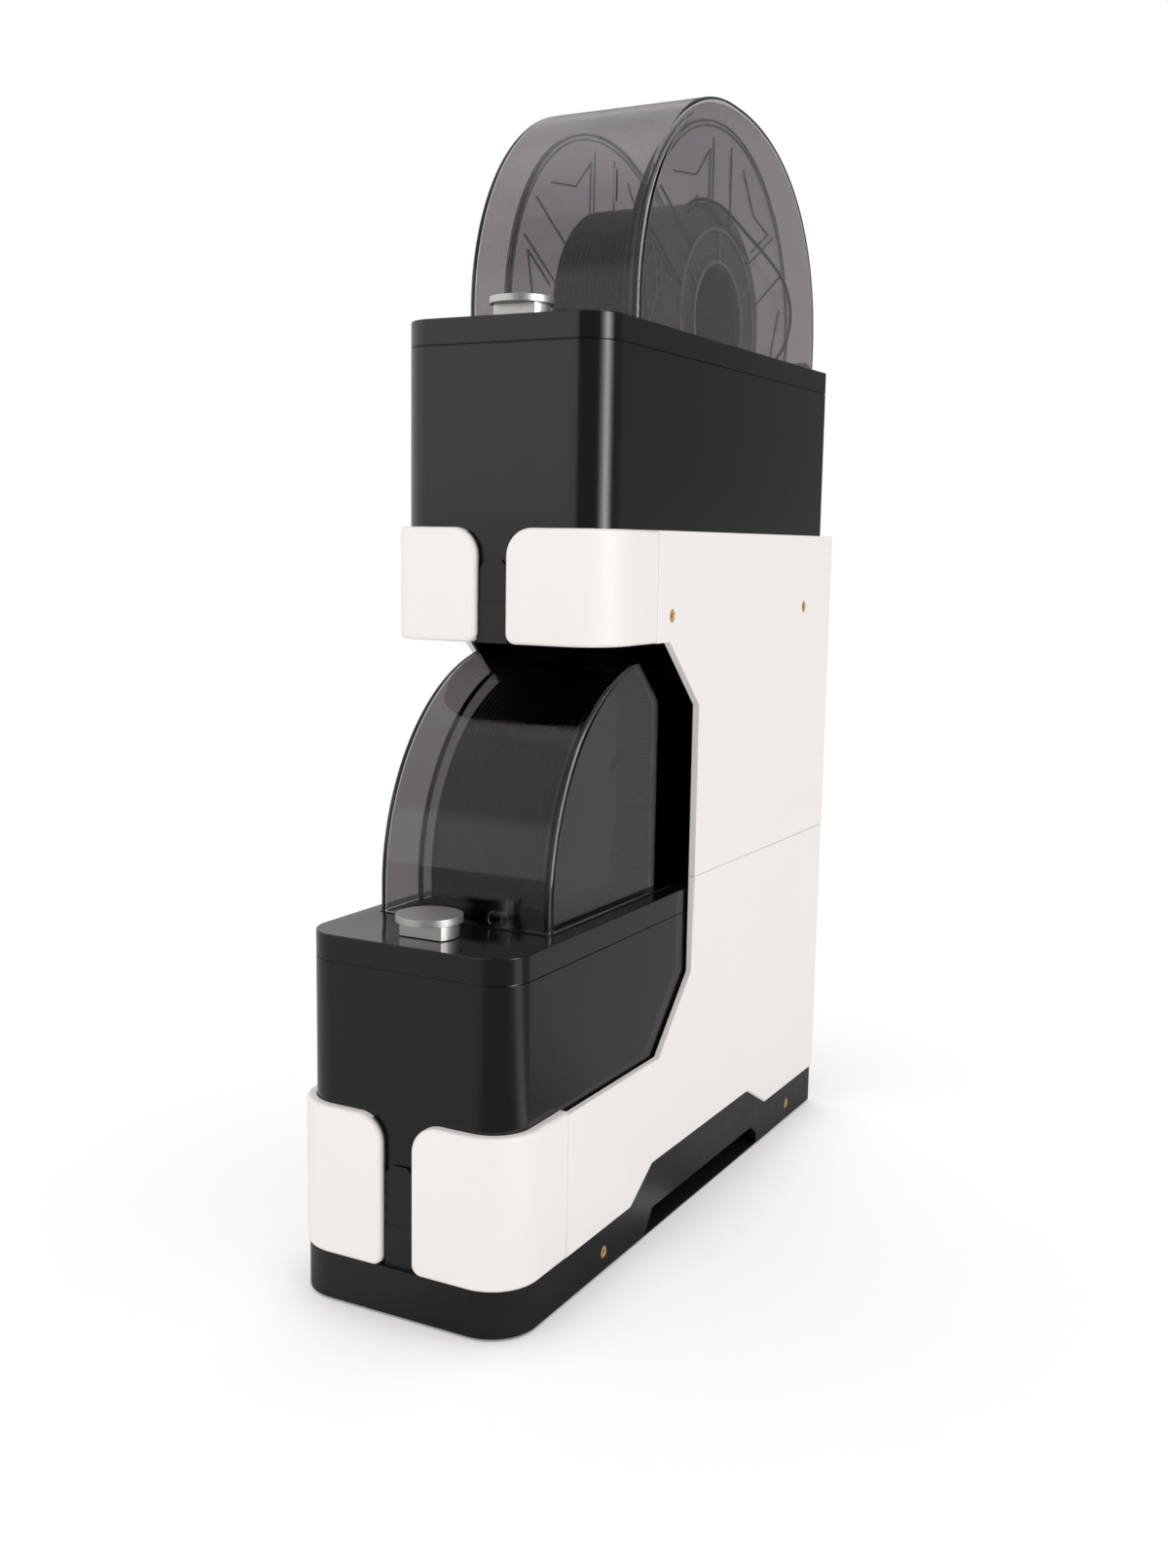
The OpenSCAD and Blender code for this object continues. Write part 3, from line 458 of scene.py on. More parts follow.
# Maker, name, the two close colours, roughness and what else each finish takes
FINISHES = {
    "white_print": (printed_plastic, "Printed white PLA", "#f8f3ef", "#f5f0ec", 0.5, 0.012 * MM),
    "black_print": (printed_plastic, "Printed black PETG", "#1f1e1f", "#1b1a1b", 0.36, 0.006 * MM),
    "body_black": (plain_plastic, "Moulded black ABS", "#141314", "#111012", 0.16),
    # polished, so that the deck shows what stands on it
    "deck_black": (plain_plastic, "Polished black ABS", "#141314", "#111012", 0.1),
    "smoked_lid": (clear_plastic, "Smoked polycarbonate", "#b9b5b7", "#b5b1b3", 0.0, 1.0, 1.44),
    "clear_spool": (clear_plastic, "Clear polystyrene", "#e6e4e5", "#dfdddf", 0.0, 1.0, 1.4),
    # hazy, so that the raised lines read as thin dark lines, and milky where they cross the dark core
    "clear_ribs": (clear_plastic, "Hazy polystyrene ribs", "#c4c2c4", "#bbb9bb", 0.28, 0.8, 1.5),
    "hub_ribs": (clear_plastic, "Milky polystyrene ribs", "#d6d5d8", "#cfced1", 0.3, 0.2, 1.5),
    "filament_black": (plain_plastic, "Black PETG filament", "#151418", "#111014", 0.34),
    "knob_aluminium": (bare_metal, "Satin anodised aluminium", "#dad8d4", "#d0ceca", 0.42),
    "latch_black": (plain_plastic, "Black POM", "#0a0a0a", "#0d0d0d", 0.5),
    # dulled by handling, so not wholly metallic
    "brass": (bare_metal, "Turned brass", "#dcb98c", "#d2ab7b", 0.42, (1, 1, 1), 0.55),
    "seal_rubber": (plain_plastic, "Black silicone", "#161616", "#1b1b1b", 0.7, 0.8 * MM),
    "foot_rubber": (plain_plastic, "Black rubber", "#141414", "#1c1c1b", 0.8, 0.7 * MM),
    "roller_rubber": (plain_plastic, "Grey nitrile rubber", "#434144", "#3b393c", 0.65, 0.7 * MM),
    "inner_black": (plain_plastic, "Glass-filled nylon", "#29282a", "#232223", 0.55, 0.6 * MM),
    "pin_steel": (bare_metal, "Drawn steel", "#aaa9a7", "#9b9a98", 0.25, (0.05, 1, 1)),
    "motor_metal": (bare_metal, "Zinc-plated steel", "#92928f", "#858582", 0.38),
    "wheel_steel": (bare_metal, "Ground steel", "#bababa", "#a9a9a8", 0.28),
    "heater_aluminium": (bare_metal, "Extruded aluminium", "#b0b0ae", "#a3a3a1", 0.42, (1, 1, 0.05)),
    "desiccant_white": (plain_plastic, "White polypropylene", "#dcdad4", "#d3d1cb", 0.5),
    "board_green": (plain_plastic, "Green glass epoxy", "#2c5a3c", "#275236", 0.3, 1.0 * MM, 0.01 * MM),
}
FINISH = {}          # the materials by name, once they are made


# ---- operators

class DRYER_OT_stage(bpy.types.Operator):
    """Camera, floor, softbox and the studio's light"""
    bl_idname = "dryer.stage"
    bl_label = "Studio"

    def execute(self, context):
        studio = context.scene.dryer_studio
        place_camera(studio)
        make_floor()
        make_world(studio)
        tall_softbox(studio)
        context.scene.view_settings.view_transform = "Standard"
        return {"FINISHED"}


def place_camera(studio):
    ahead = Vector((-math.sin(studio.yaw) * math.cos(studio.pitch),
                    math.cos(studio.yaw) * math.cos(studio.pitch), -math.sin(studio.pitch)))
    right = Vector((math.cos(studio.yaw), math.sin(studio.yaw), 0))
    down = ahead.cross(right)
    cross = right * math.cos(studio.roll) + down * math.sin(studio.roll)
    drop = down * math.cos(studio.roll) - right * math.sin(studio.roll)
    data = bpy.data.cameras.new("Studio camera")
    data.lens = studio.lens
    data.sensor_width = 36
    data.clip_start, data.clip_end = 0.01, 200
    camera = bpy.data.objects.new("Studio_camera", data)
    turn = Matrix((cross, -drop, -ahead)).transposed().to_4x4()
    camera.matrix_world = Matrix.Translation(studio.camera_at) @ turn
    bpy.context.scene.collection.objects.link(camera)
    bpy.context.scene.camera = camera


def level_ramp(tree, factor, stops):
    """Grey levels along a factor from 0 to 1."""
    ramp = node(tree, "ShaderNodeValToRGB", {0: factor})
    made = ramp.color_ramp.elements
    made[0].position, made[1].position = 0.0, 1.0
    for _ in stops[2:]:
        made.new(0.5)
    for stop, (place, level) in zip(made, stops):
        stop.position = place
        stop.color = (level, level, level, 1)
    return ramp.outputs[0]


def around(tree, vector, stops):
    """Grey levels by azimuth in degrees: 0 is in front of the object, 90 at its right."""
    parts = node(tree, "ShaderNodeSeparateXYZ", {0: vector}).outputs
    azimuth = maths(tree, "ARCTAN2", parts["X"], maths(tree, "MULTIPLY", parts["Y"], -1.0))
    share = node(tree, "ShaderNodeMapRange", {"Value": azimuth, "From Min": -math.pi, "From Max": math.pi})
    return level_ramp(tree, share.outputs[0], [((degrees + 180) / 360, level) for degrees, level in stops])


def direct_ray(tree, path):
    """1 for rays from the camera and through clear plastic."""
    return maths(tree, "MAXIMUM", path["Is Camera Ray"], path["Is Transmission Ray"])


FLOOR_HALF = 40.0        # metres, so that the floor meets the backdrop at the horizon
FLOOR_PAPER = "#f2f1f0"
FLOOR_GLOW = 0.16        # what the floor lacks to be white beside the object
FLOOR_GLOSS = 0.1        # share of that glow that gloss mirrors
# Tone of the floor in gloss, by azimuth: a painted reflection of the studio's light, brightest toward the softbox and
# darker elsewhere
FLOOR_PAINTED_REFLECTION = ((-180, 0.35), (-100, 0.5), (-28, 0.46), (-6, 0.4), (6, 0.18), (54, 0.17), (66, 0.3), (78, 1.0),
               (88, 1.0), (98, 0.3), (112, 0.2), (132, 0.4), (180, 0.35))


def make_floor():
    """White paper that glows a little, less so in gloss, where its tone also goes by azimuth as a painted reflection
    of the studio's light, brightest toward the softbox.
    """
    bm = bmesh.new()
    bmesh.ops.create_grid(bm, x_segments=2, y_segments=2, size=FLOOR_HALF)
    floor = from_bmesh("studio_floor", bm)
    made = bpy.data.materials.new("Studio floor")
    made.use_nodes = True
    tree = made.node_tree
    tree.nodes.clear()
    path = node(tree, "ShaderNodeLightPath").outputs
    # painted reflection: in gloss the floor's tone goes by azimuth, brightest toward the softbox
    mirrored = around(tree, node(tree, "ShaderNodeNewGeometry").outputs["Position"], FLOOR_PAINTED_REFLECTION)
    tone = blend(tree, path["Is Glossy Ray"], hex_colour(FLOOR_PAPER), mirrored)
    paper = node(tree, "ShaderNodeBsdfDiffuse", {"Color": tone})
    indirect = maths(tree, "MULTIPLY_ADD", path["Is Glossy Ray"], FLOOR_GLOSS, path["Is Diffuse Ray"])
    seen = maths(tree, "MAXIMUM", direct_ray(tree, path), indirect)
    glow = node(tree, "ShaderNodeEmission", {"Strength": FLOOR_GLOW})
    none = node(tree, "ShaderNodeEmission", {"Strength": 0.0})
    shown = node(tree, "ShaderNodeMixShader", {0: seen, 1: none.outputs[0], 2: glow.outputs[0]})
    both = node(tree, "ShaderNodeAddShader", {0: paper.outputs[0], 1: shown.outputs[0]})
    node(tree, "ShaderNodeOutputMaterial", {"Surface": both.outputs[0]})
    floor.data.materials.append(made)


# Brightness of the studio's walls in gloss, by azimuth in degrees: 0 is in front of the object, 90 at its right
WALLS = ((-180, 0.45), (-150, 0.6), (-100, 0.95), (-50, 1.1), (-14, 1.1), (-3, 1.0), (5, 0.15), (50, 0.14),
         (62, 0.2), (106, 0.2), (116, 0.17), (158, 0.17), (172, 0.27), (180, 0.45))
# Share of that by the sine of the height: a bright band, a dim wall, a bright edge and a dark ceiling
HEIGHTS = ((0.0, 1.0), (0.34, 1.0), (0.42, 0.45), (0.8, 0.5), (0.9, 1.0), (0.955, 1.0), (0.97, 0.05), (1.0, 0.05))


def make_world(studio):
    world = bpy.data.worlds.new("Studio")
    bpy.context.scene.world = world
    world.use_nodes = True
    tree = world.node_tree
    tree.nodes.clear()
    way = node(tree, "ShaderNodeTexCoord").outputs["Generated"]
    parts = node(tree, "ShaderNodeSeparateXYZ", {0: way}).outputs
    mirrored = blend(tree, 1.0, around(tree, way, WALLS), level_ramp(tree, parts["Z"], HEIGHTS),
                     blend_type="MULTIPLY")
    overhead = node(tree, "ShaderNodeMapRange", {"Value": parts["Z"], "From Min": 0.3, "From Max": 0.8,
                                                 "To Min": studio.ambient, "To Max": studio.overhead})
    path = node(tree, "ShaderNodeLightPath").outputs
    light = blend(tree, path["Is Glossy Ray"], overhead.outputs[0], mirrored)
    shown = blend(tree, direct_ray(tree, path), light, (1.0, 1.0, 1.0, 1.0))
    back = node(tree, "ShaderNodeBackground", {"Color": shown})
    node(tree, "ShaderNodeOutputWorld", {0: back.outputs[0]})


SOFTBOX_AZIMUTH = math.radians(83)
SOFTBOX_AWAY = 1.7
SOFTBOX_GAP = 0.01                                        # from one layer to the next
SOFTBOX_RISE = (0.9, 2.2)                                 # middle and height
SOFTBOX_LAYERS = ((1.3, 0.2), (0.8, 0.35), (0.4, 0.45))   # width and share of the light: soft sides, bright middle


def tall_softbox(studio):
    """Softbox that draws the upright highlight on the corners; gloss alone sees it."""
    for number, (width, share) in enumerate(SOFTBOX_LAYERS):
        data = bpy.data.lights.new("Softbox", "AREA")
        data.shape = "RECTANGLE"
        data.size, data.size_y = width, SOFTBOX_RISE[1]
        data.energy = studio.softbox * share * math.pi * data.size * data.size_y
        away = SOFTBOX_AWAY + SOFTBOX_GAP * number
        lamp = bpy.data.objects.new("Softbox", data)
        lamp.location = (away * math.sin(SOFTBOX_AZIMUTH), -away * math.cos(SOFTBOX_AZIMUTH), SOFTBOX_RISE[0])
        lamp.rotation_euler = (math.pi / 2, 0, SOFTBOX_AZIMUTH)
        lamp.visible_camera = False
        lamp.visible_diffuse = False
        lamp.visible_transmission = False
        bpy.context.scene.collection.objects.link(lamp)


ON_RIM = 0.3 * MM             # this near an outline counts as on it
CLIP_SEAM = 0.2 * MM          # and this near a clip's end or a seam as at it
PANEL_SEAM = 0.5 * MM
PLAN_BEHIND = 200 * MM        # how far the stand's plan goes on behind a clip


class DRYER_OT_white_panels(bpy.types.Operator):
    """The stand's printed white side panels and front clips, with rounded outer edges"""
    bl_idname = "dryer.white_panels"
    bl_label = "White panels and clips"

    def execute(self, context):
        stand = context.scene.dryer_stand
        half = span("upper_right_panel")[1].x
        for tier in ("lower", "upper"):
            for side in ("left", "right"):
                white_clip(f"{tier}_{side}_clip", stand, half)
                white_panel(f"{tier}_{side}_panel", stand, half)
        return {"FINISHED"}


def white_clip(name, stand, half):
    low, high = span(name)
    plan_low = Vector((-half, low.y, 0))
    plan_high = Vector((half, high.y + PLAN_BEHIND, 0))

    def weight(point):
        if abs(rim_distance(point, plan_low, plan_high, stand.plan_round, stand.plan_round)) > ON_RIM:
            return 0.0
        return stand.seam_share if high.y - point.y < CLIP_SEAM else 1.0

    dress(name, "white_print", stand.clip_round, weight=weight, segments=4)


def white_panel(name, stand, half):
    seam_z = span("upper_right_panel")[0].z
    clip = span(name.replace("panel", "clip"))[1].y

    def weight(point):
        if half - abs(point.x) > ON_RIM:
            return 0.0
        at_seam = abs(point.z - seam_z) < PANEL_SEAM or abs(point.y - clip) < PANEL_SEAM
        return stand.seam_share if at_seam else 1.0

    dress(name, "white_print", stand.panel_round, weight=weight)


SIDE_FACE = 1 * MM        # this near the base's side counts as on its side face


class DRYER_OT_black_stand(bpy.types.Operator):
    """The stand's black base, trays, back wall, liners and rubber feet"""
    bl_idname = "dryer.black_stand"
    bl_label = "Black stand parts"

    def execute(self, context):
        stand = context.scene.dryer_stand
        low, high = span("base")
        inset = span("upper_right_panel")[1].x - high.x

        def base_weight(point):
            rim = rim_distance(point, low, high, stand.plan_round - inset, stand.back_round)
            return 1.0 if abs(point.x) > high.x - SIDE_FACE or abs(rim) < ON_RIM else 0.0

        dress("base", "black_print", stand.base_round, weight=base_weight)
        for name, width in (("lower_tray", 0.5), ("upper_tray", 0.5), ("back_wall", 0.8), ("side_liners", 0.2)):
            dress(name, "black_print", width * MM)
        # the sole plates close the grips and are also painted shade on the floor under the base
        finish(base_sole(low, high), "black_print", "black_print", body_of("base"))
        dress("base_feet", "foot_rubber", 0.5 * MM, sharp=20)
        return {"FINISHED"}


SOLE = (30 * MM, 0.6 * MM, 0.7 * MM)      # reach of a sole plate, its gap to the side face and its thickness; the reach also covers floor in the base's shade, as painted shade
SOLE_GAP = 0.02 * MM                      # from the plate up to the base
GRIP = (-51.5 * MM, 122 * MM)             # where the plate closes the finger grips from below


def base_sole(low, high):
    """Thin black plates that close the base's finger grips from below and reach in over the floor that lies in the
    base's shade, where they are painted shade.
    """
    bm = bmesh.new()
    for side in (-1, 1):
        inner, outer = sorted((side * (high.x - SOLE[0]), side * (high.x - SOLE[1])))
        plate(bm, (inner, GRIP[0], low.z - SOLE[2]), (outer, GRIP[1], low.z - SOLE_GAP))
    return from_bmesh("base_sole", bm)


class DRYER_OT_screws(bpy.types.Operator):
    """Brass screws with a dark hexagonal socket, on both sides of the stand"""
    bl_idname = "dryer.screws"
    bl_label = "Panel screws"

    head_radius: FloatProperty(name="Head", description="Radius of a screw's head", default=3.2 * MM, unit="LENGTH")
    socket_radius: FloatProperty(name="Socket", description="Radius of the socket", default=1.5 * MM, unit="LENGTH")

    def execute(self, context):
        centres = screw_centres()
        screw = self.screw()
        points = bpy.data.meshes.new("screw_points")
        points.from_pydata(centres, [], [])
        group = new_object("panel_screws_turned", points)
        grow(group, screws_tree(), Screw=screw, Turn=math.tau / 6, Finish=FINISH["brass"])
        bpy.data.objects.remove(screw)
        shade(group, CRISP)
        finish(group, "brass", "brass", body_of("panel_screws"), "panel_screws")
        return {"FINISHED"}

    def screw(self):
        """One screw along +X with its head's face at x = 0: a crowned head, a deep hexagonal socket, a shank."""
        bm = bmesh.new()
        r, s = self.head_radius, self.socket_radius
        outline = [(-6.4 * MM, 0.0), (-6.4 * MM, 1.1 * MM), (-6.0 * MM, 1.5 * MM), (-2.0 * MM, 1.5 * MM),
                   (-2.0 * MM, r - 0.2 * MM), (-1.8 * MM, r), (-0.5 * MM, r), (-0.15 * MM, r - 0.35 * MM),
                   (0.0, r - 0.9 * MM), (0.0, s + 0.25 * MM), (-0.25 * MM, s), (-1.5 * MM, s), (-1.5 * MM, 0.0)]
        steps = 24
        rings = []
        for x, radius in outline:
            ring = []
            for i in range(steps):
                a = math.tau * i / steps
                shrink = 1.0
                if radius == s:
                    shrink = math.cos(math.pi / 6) / math.cos((a % (math.pi / 3)) - math.pi / 6)
                ring.append(bm.verts.new((x, radius * shrink * math.sin(a), radius * shrink * math.cos(a))))
            rings.append(ring)
        for here, after in zip(rings, rings[1:]):
            for i in range(steps):
                bm.faces.new((here[i], after[i], after[(i + 1) % steps], here[(i + 1) % steps]))
        bmesh.ops.remove_doubles(bm, verts=bm.verts, dist=0.001 * MM)
        bmesh.ops.recalc_face_normals(bm, faces=bm.faces)
        return from_bmesh("one_screw", bm)


def screw_centres():
    """Centres of the screw heads' faces, from the loose parts of the CAD node."""
    bm = bmesh.new()
    bm.from_mesh(NODES["panel_screws"].data)
    bmesh.ops.remove_doubles(bm, verts=bm.verts, dist=0.002 * MM)
    left = set(bm.verts)
    centres = []
    while left:
        part, edge_of_part = [], [left.pop()]
        while edge_of_part:
            vert = edge_of_part.pop()
            part.append(vert.co.copy())
            for edge in vert.link_edges:
                other = edge.other_vert(vert)
                if other in left:
                    left.remove(other)
                    edge_of_part.append(other)
        xs, ys, zs = ([v[i] for v in part] for i in range(3))
        outer = max(xs) if sum(xs) > 0 else min(xs)
        centres.append(Vector((outer, (min(ys) + max(ys)) / 2, (min(zs) + max(zs)) / 2)))
    bm.free()
    return sorted(centres, key=lambda c: tuple(round(v, 5) for v in c))


DECK_RIM = 5 * MM         # this far above the shell is the deck's upper rim


class DRYER_OT_cases(bpy.types.Operator):
    """The dryers' moulded cases: shell, deck, bottom cover, lid seal and rear ports"""
    bl_idname = "dryer.cases"
    bl_label = "Cases"

    def execute(self, context):
        case = context.scene.dryer_case
        for unit in UNITS:
            low, high = span(f"{unit}_shell")

            def outer_top(point, low=low, high=high):
                on_rim = abs(rim_distance(point, low, high, case.corner, case.back_corner)) < ON_RIM
                return 1.0 if on_rim and point.z > high.z + DECK_RIM else 0.0

            dress(f"{unit}_deck", "deck_black", case.deck_round, "body_black", weight=outer_top, segments=4)
            for part, paint, width in (("shell", "body_black", 0.2), ("bottom_cover", "inner_black", 0.6),
                                       ("lid_seal", "seal_rubber", 0.25), ("rear_ports", "inner_black", 0.25)):
                dress(f"{unit}_{part}", paint, width * MM)
        return {"FINISHED"}


class DRYER_OT_lids(bpy.types.Operator):
    """The clear smoked lids: a domed shell with filleted sides, its sill, knuckles and hinge pin"""
    bl_idname = "dryer.lids"
    bl_label = "Lids"

    def execute(self, context):
        lid = context.scene.dryer_lid
        for unit in UNITS:
            name = f"{unit}_lid"
            low, high = span(name)
            finish(lid_dome(unit, lid, low, high), "smoked_lid", "smoked_lid", body_of(name), name)
            finish(lid_hinge(unit, lid, low, high), "smoked_lid", "smoked_lid", body_of(name))
            dress(f"{unit}_hinge_pin", "pin_steel", 0.3 * MM, sharp=40)
        return {"FINISHED"}


LUG_CUT = (29.7 * MM, 36.3 * MM, 7.1 * MM)      # inner and outer x and height of the cut-outs for the deck's lugs


def lid_station(lid, low, high, inset):
    """The lid's outline in (y, z) from the front foot over the crown to the heel, inset by some amount."""
    foot = low.z
    top = high.z - inset
    front, back = low.y + inset, high.y - inset
    crown = low.y + lid.crown
    leg = foot + lid.leg
    n = lid.steps
    points = [(front, foot), (front, foot + lid.leg / 2)]
    for i in range(n + 1):
        a = math.pi / 2 * i / n
        points.append((crown - (crown - front) * math.cos(a), leg + (top - leg) * math.sin(a)))
    k = 2 / lid.back_power
    for i in range(n - 1, -1, -1):
        a = math.pi / 2 * i / n
        points.append((crown + (back - crown) * math.cos(a) ** k, leg + (top - leg) * math.sin(a) ** k))
    points += [(back, foot + LUG_CUT[2] - 0.5 * MM), (back, foot + lid.heel), (back - lid.heel, foot)]
    return points


def lid_dome(unit, lid, low, high):
    half, r = high.x, lid.fillet
    arc = [math.pi / 2 * i / 6 for i in range(7)]
    edge = [(half - r + r * math.sin(a), r * (1 - math.cos(a))) for a in arc]
    right = [(0.0, 0.0), (15 * MM, 0.0), (LUG_CUT[0], 0.0), (LUG_CUT[1], 0.0)] + edge
    columns = [(-x, inset) for x, inset in reversed(right[1:])] + right
    bm = bmesh.new()
    grid = [[bm.verts.new((x, y, z)) for y, z in lid_station(lid, low, high, inset)] for x, inset in columns]
    last = len(grid[0]) - 1
    for here, after, (x0, _), (x1, _) in zip(grid, grid[1:], columns, columns[1:]):
        lug = LUG_CUT[0] - 0.1 * MM < min(abs(x0), abs(x1)) and max(abs(x0), abs(x1)) < LUG_CUT[1] + 0.1 * MM
        for j in range(last):
            if lug and j >= last - 2:
                continue
            bm.faces.new((here[j], after[j], after[j + 1], here[j + 1]))
    bm.faces.new(grid[0])
    bm.faces.new(reversed(grid[-1]))
    loose = [v for v in bm.verts if not v.link_faces]
    bmesh.ops.delete(bm, geom=loose, context="VERTS")
    bmesh.ops.recalc_face_normals(bm, faces=bm.faces)
    if sum(f.normal.z * f.calc_area() for f in bm.faces) < 0:
        bmesh.ops.reverse_faces(bm, faces=bm.faces)
    dome = from_bmesh(f"{unit}_lid_dome", bm)
    wall = dome.modifiers.new("Wall", "SOLIDIFY")
    wall.thickness = lid.wall
    wall.offset = -1
    wall.use_even_offset = True
    wall.use_rim = True
    apply_modifiers(dome)
    return shade(dome, CRISP)


CHAMFER = 0.3 * MM            # on the edges of turned pieces
PIN_PLAY = 0.06 * MM          # between the hinge pin and the lid's knuckles
SILL = (0.5 * MM, 2.6 * MM, 4 * MM)       # gap from the knuckles to the sill, its thickness and its height


def lid_hinge(unit, lid, low, high):
    """Sill across the back of the lid and the hinge knuckles between the deck's lugs."""
    _, pin_high, y, z, pin_radius = wheel(f"{unit}_hinge_pin")
    end = pin_high.x
    outer, bore, c = z - low.z, pin_radius + PIN_PLAY, CHAMFER
    bm = bmesh.new()
    for x0, x1 in ((-end, -LUG_CUT[1]), (-LUG_CUT[0], LUG_CUT[0]), (LUG_CUT[1], end)):
        profile = [(x0, bore), (x1, bore), (x1, outer - c), (x1 - c, outer), (x0 + c, outer), (x0, outer - c)]
        lathe(bm, profile, y, z, 32)
    bmesh.ops.recalc_face_normals(bm, faces=bm.faces)
    sill_back = y - outer - SILL[0]
    plate(bm, (-high.x + lid.wall, sill_back - SILL[1], low.z), (high.x - lid.wall, sill_back, low.z + SILL[2]))
    return shade(from_bmesh(f"{unit}_lid_hinge", bm), CRISP)


class DRYER_OT_latches(bpy.types.Operator):
    """Latch block with its hook inside each lid's foot, and the clear guide beside it"""
    bl_idname = "dryer.latches"
    bl_label = "Latches"

    def execute(self, context):
        for unit in UNITS:
            name = f"{unit}_latch_block"
            dress(name, "latch_black", 0.5 * MM)
            low, high = span(name)
            deck = span(f"{unit}_lid")[0].z
            bm = bmesh.new()
            plate(bm, (high.x + GUIDE_GAP, low.y, deck + GUIDE_GAP),
                  (high.x + GUIDE_REACH[0], high.y - GUIDE_REACH[1], high.z - GUIDE_REACH[2]))
            made = from_bmesh(f"{unit}_catch_guide", bm)
            bevel = made.modifiers.new("Rounding", "BEVEL")
            bevel.width, bevel.segments = 1.6 * MM, 4
            apply_modifiers(made)
            finish(shade(made), "smoked_lid", "smoked_lid", body_of(f"{unit}_lid"))
        return {"FINISHED"}


GUIDE_GAP = 0.3 * MM                            # from the catch guide to the latch block and to the deck
GUIDE_REACH = (8.5 * MM, 1 * MM, 1.2 * MM)      # the guide past the block's side, and short of its back and top


class DRYER_OT_knobs(bpy.types.Operator):
    """Satin aluminium knobs with their D-shaped cam, stem and catch arm"""
    bl_idname = "dryer.knobs"
    bl_label = "Knobs"

    def execute(self, context):
        for unit in UNITS:
            dress(f"{unit}_knob", "knob_aluminium", 0.4 * MM, sharp=40)
        return {"FINISHED"}


PATTERNED = ("up",)          # spools whose flanges carry the raised pattern; the lower spool's are left plain
# Openings in the flanges, in mm
CUT_DEPTH = 8                # of the shapes that cut them
SLOT_AT = (63.3, -31.4)      # middle of the strand's slot: radius, and degrees from straight up
SLOT_SIZE = (13, 6)          # its width and height
PARK = (34.0, -31.3)         # hole that holds the strand's end: y and z from the spool's axis
PARK_RADIUS = 2
SLIT = (11.5, 78, 2.2, 17)   # slit beside the upright arm: y and z of its middle, width and height
# Raised pattern
CHEVRON = ((87, 18.5), (75.5, 35), (85.5, 49.5), (59.5, 44.5))      # zigzag between two arms: radius in mm, degrees
INNER_RIM = 0.9 * MM                    # width of the rim's inner ring
OUTER_RIM = (1.2 * MM, 0.3 * MM)        # inner and outer edge of its outer ring, from the flange's edge
HUB_RING = 0.75                         # half the width of a hub ring, as a share of a line's width
ARM_END = 0.94                          # end of an arm, as a share of the way to the rim
RIB_CHAMFER = 0.25 * MM
RIB_TOP = 0.45                          # half the width of a rib's top, as a share of the width of its foot
SUNK = 0.02 * MM                        # how far raised pieces start inside the flange
REEL_STEPS, RIM_STEPS, HUB_STEPS = 128, 112, 80


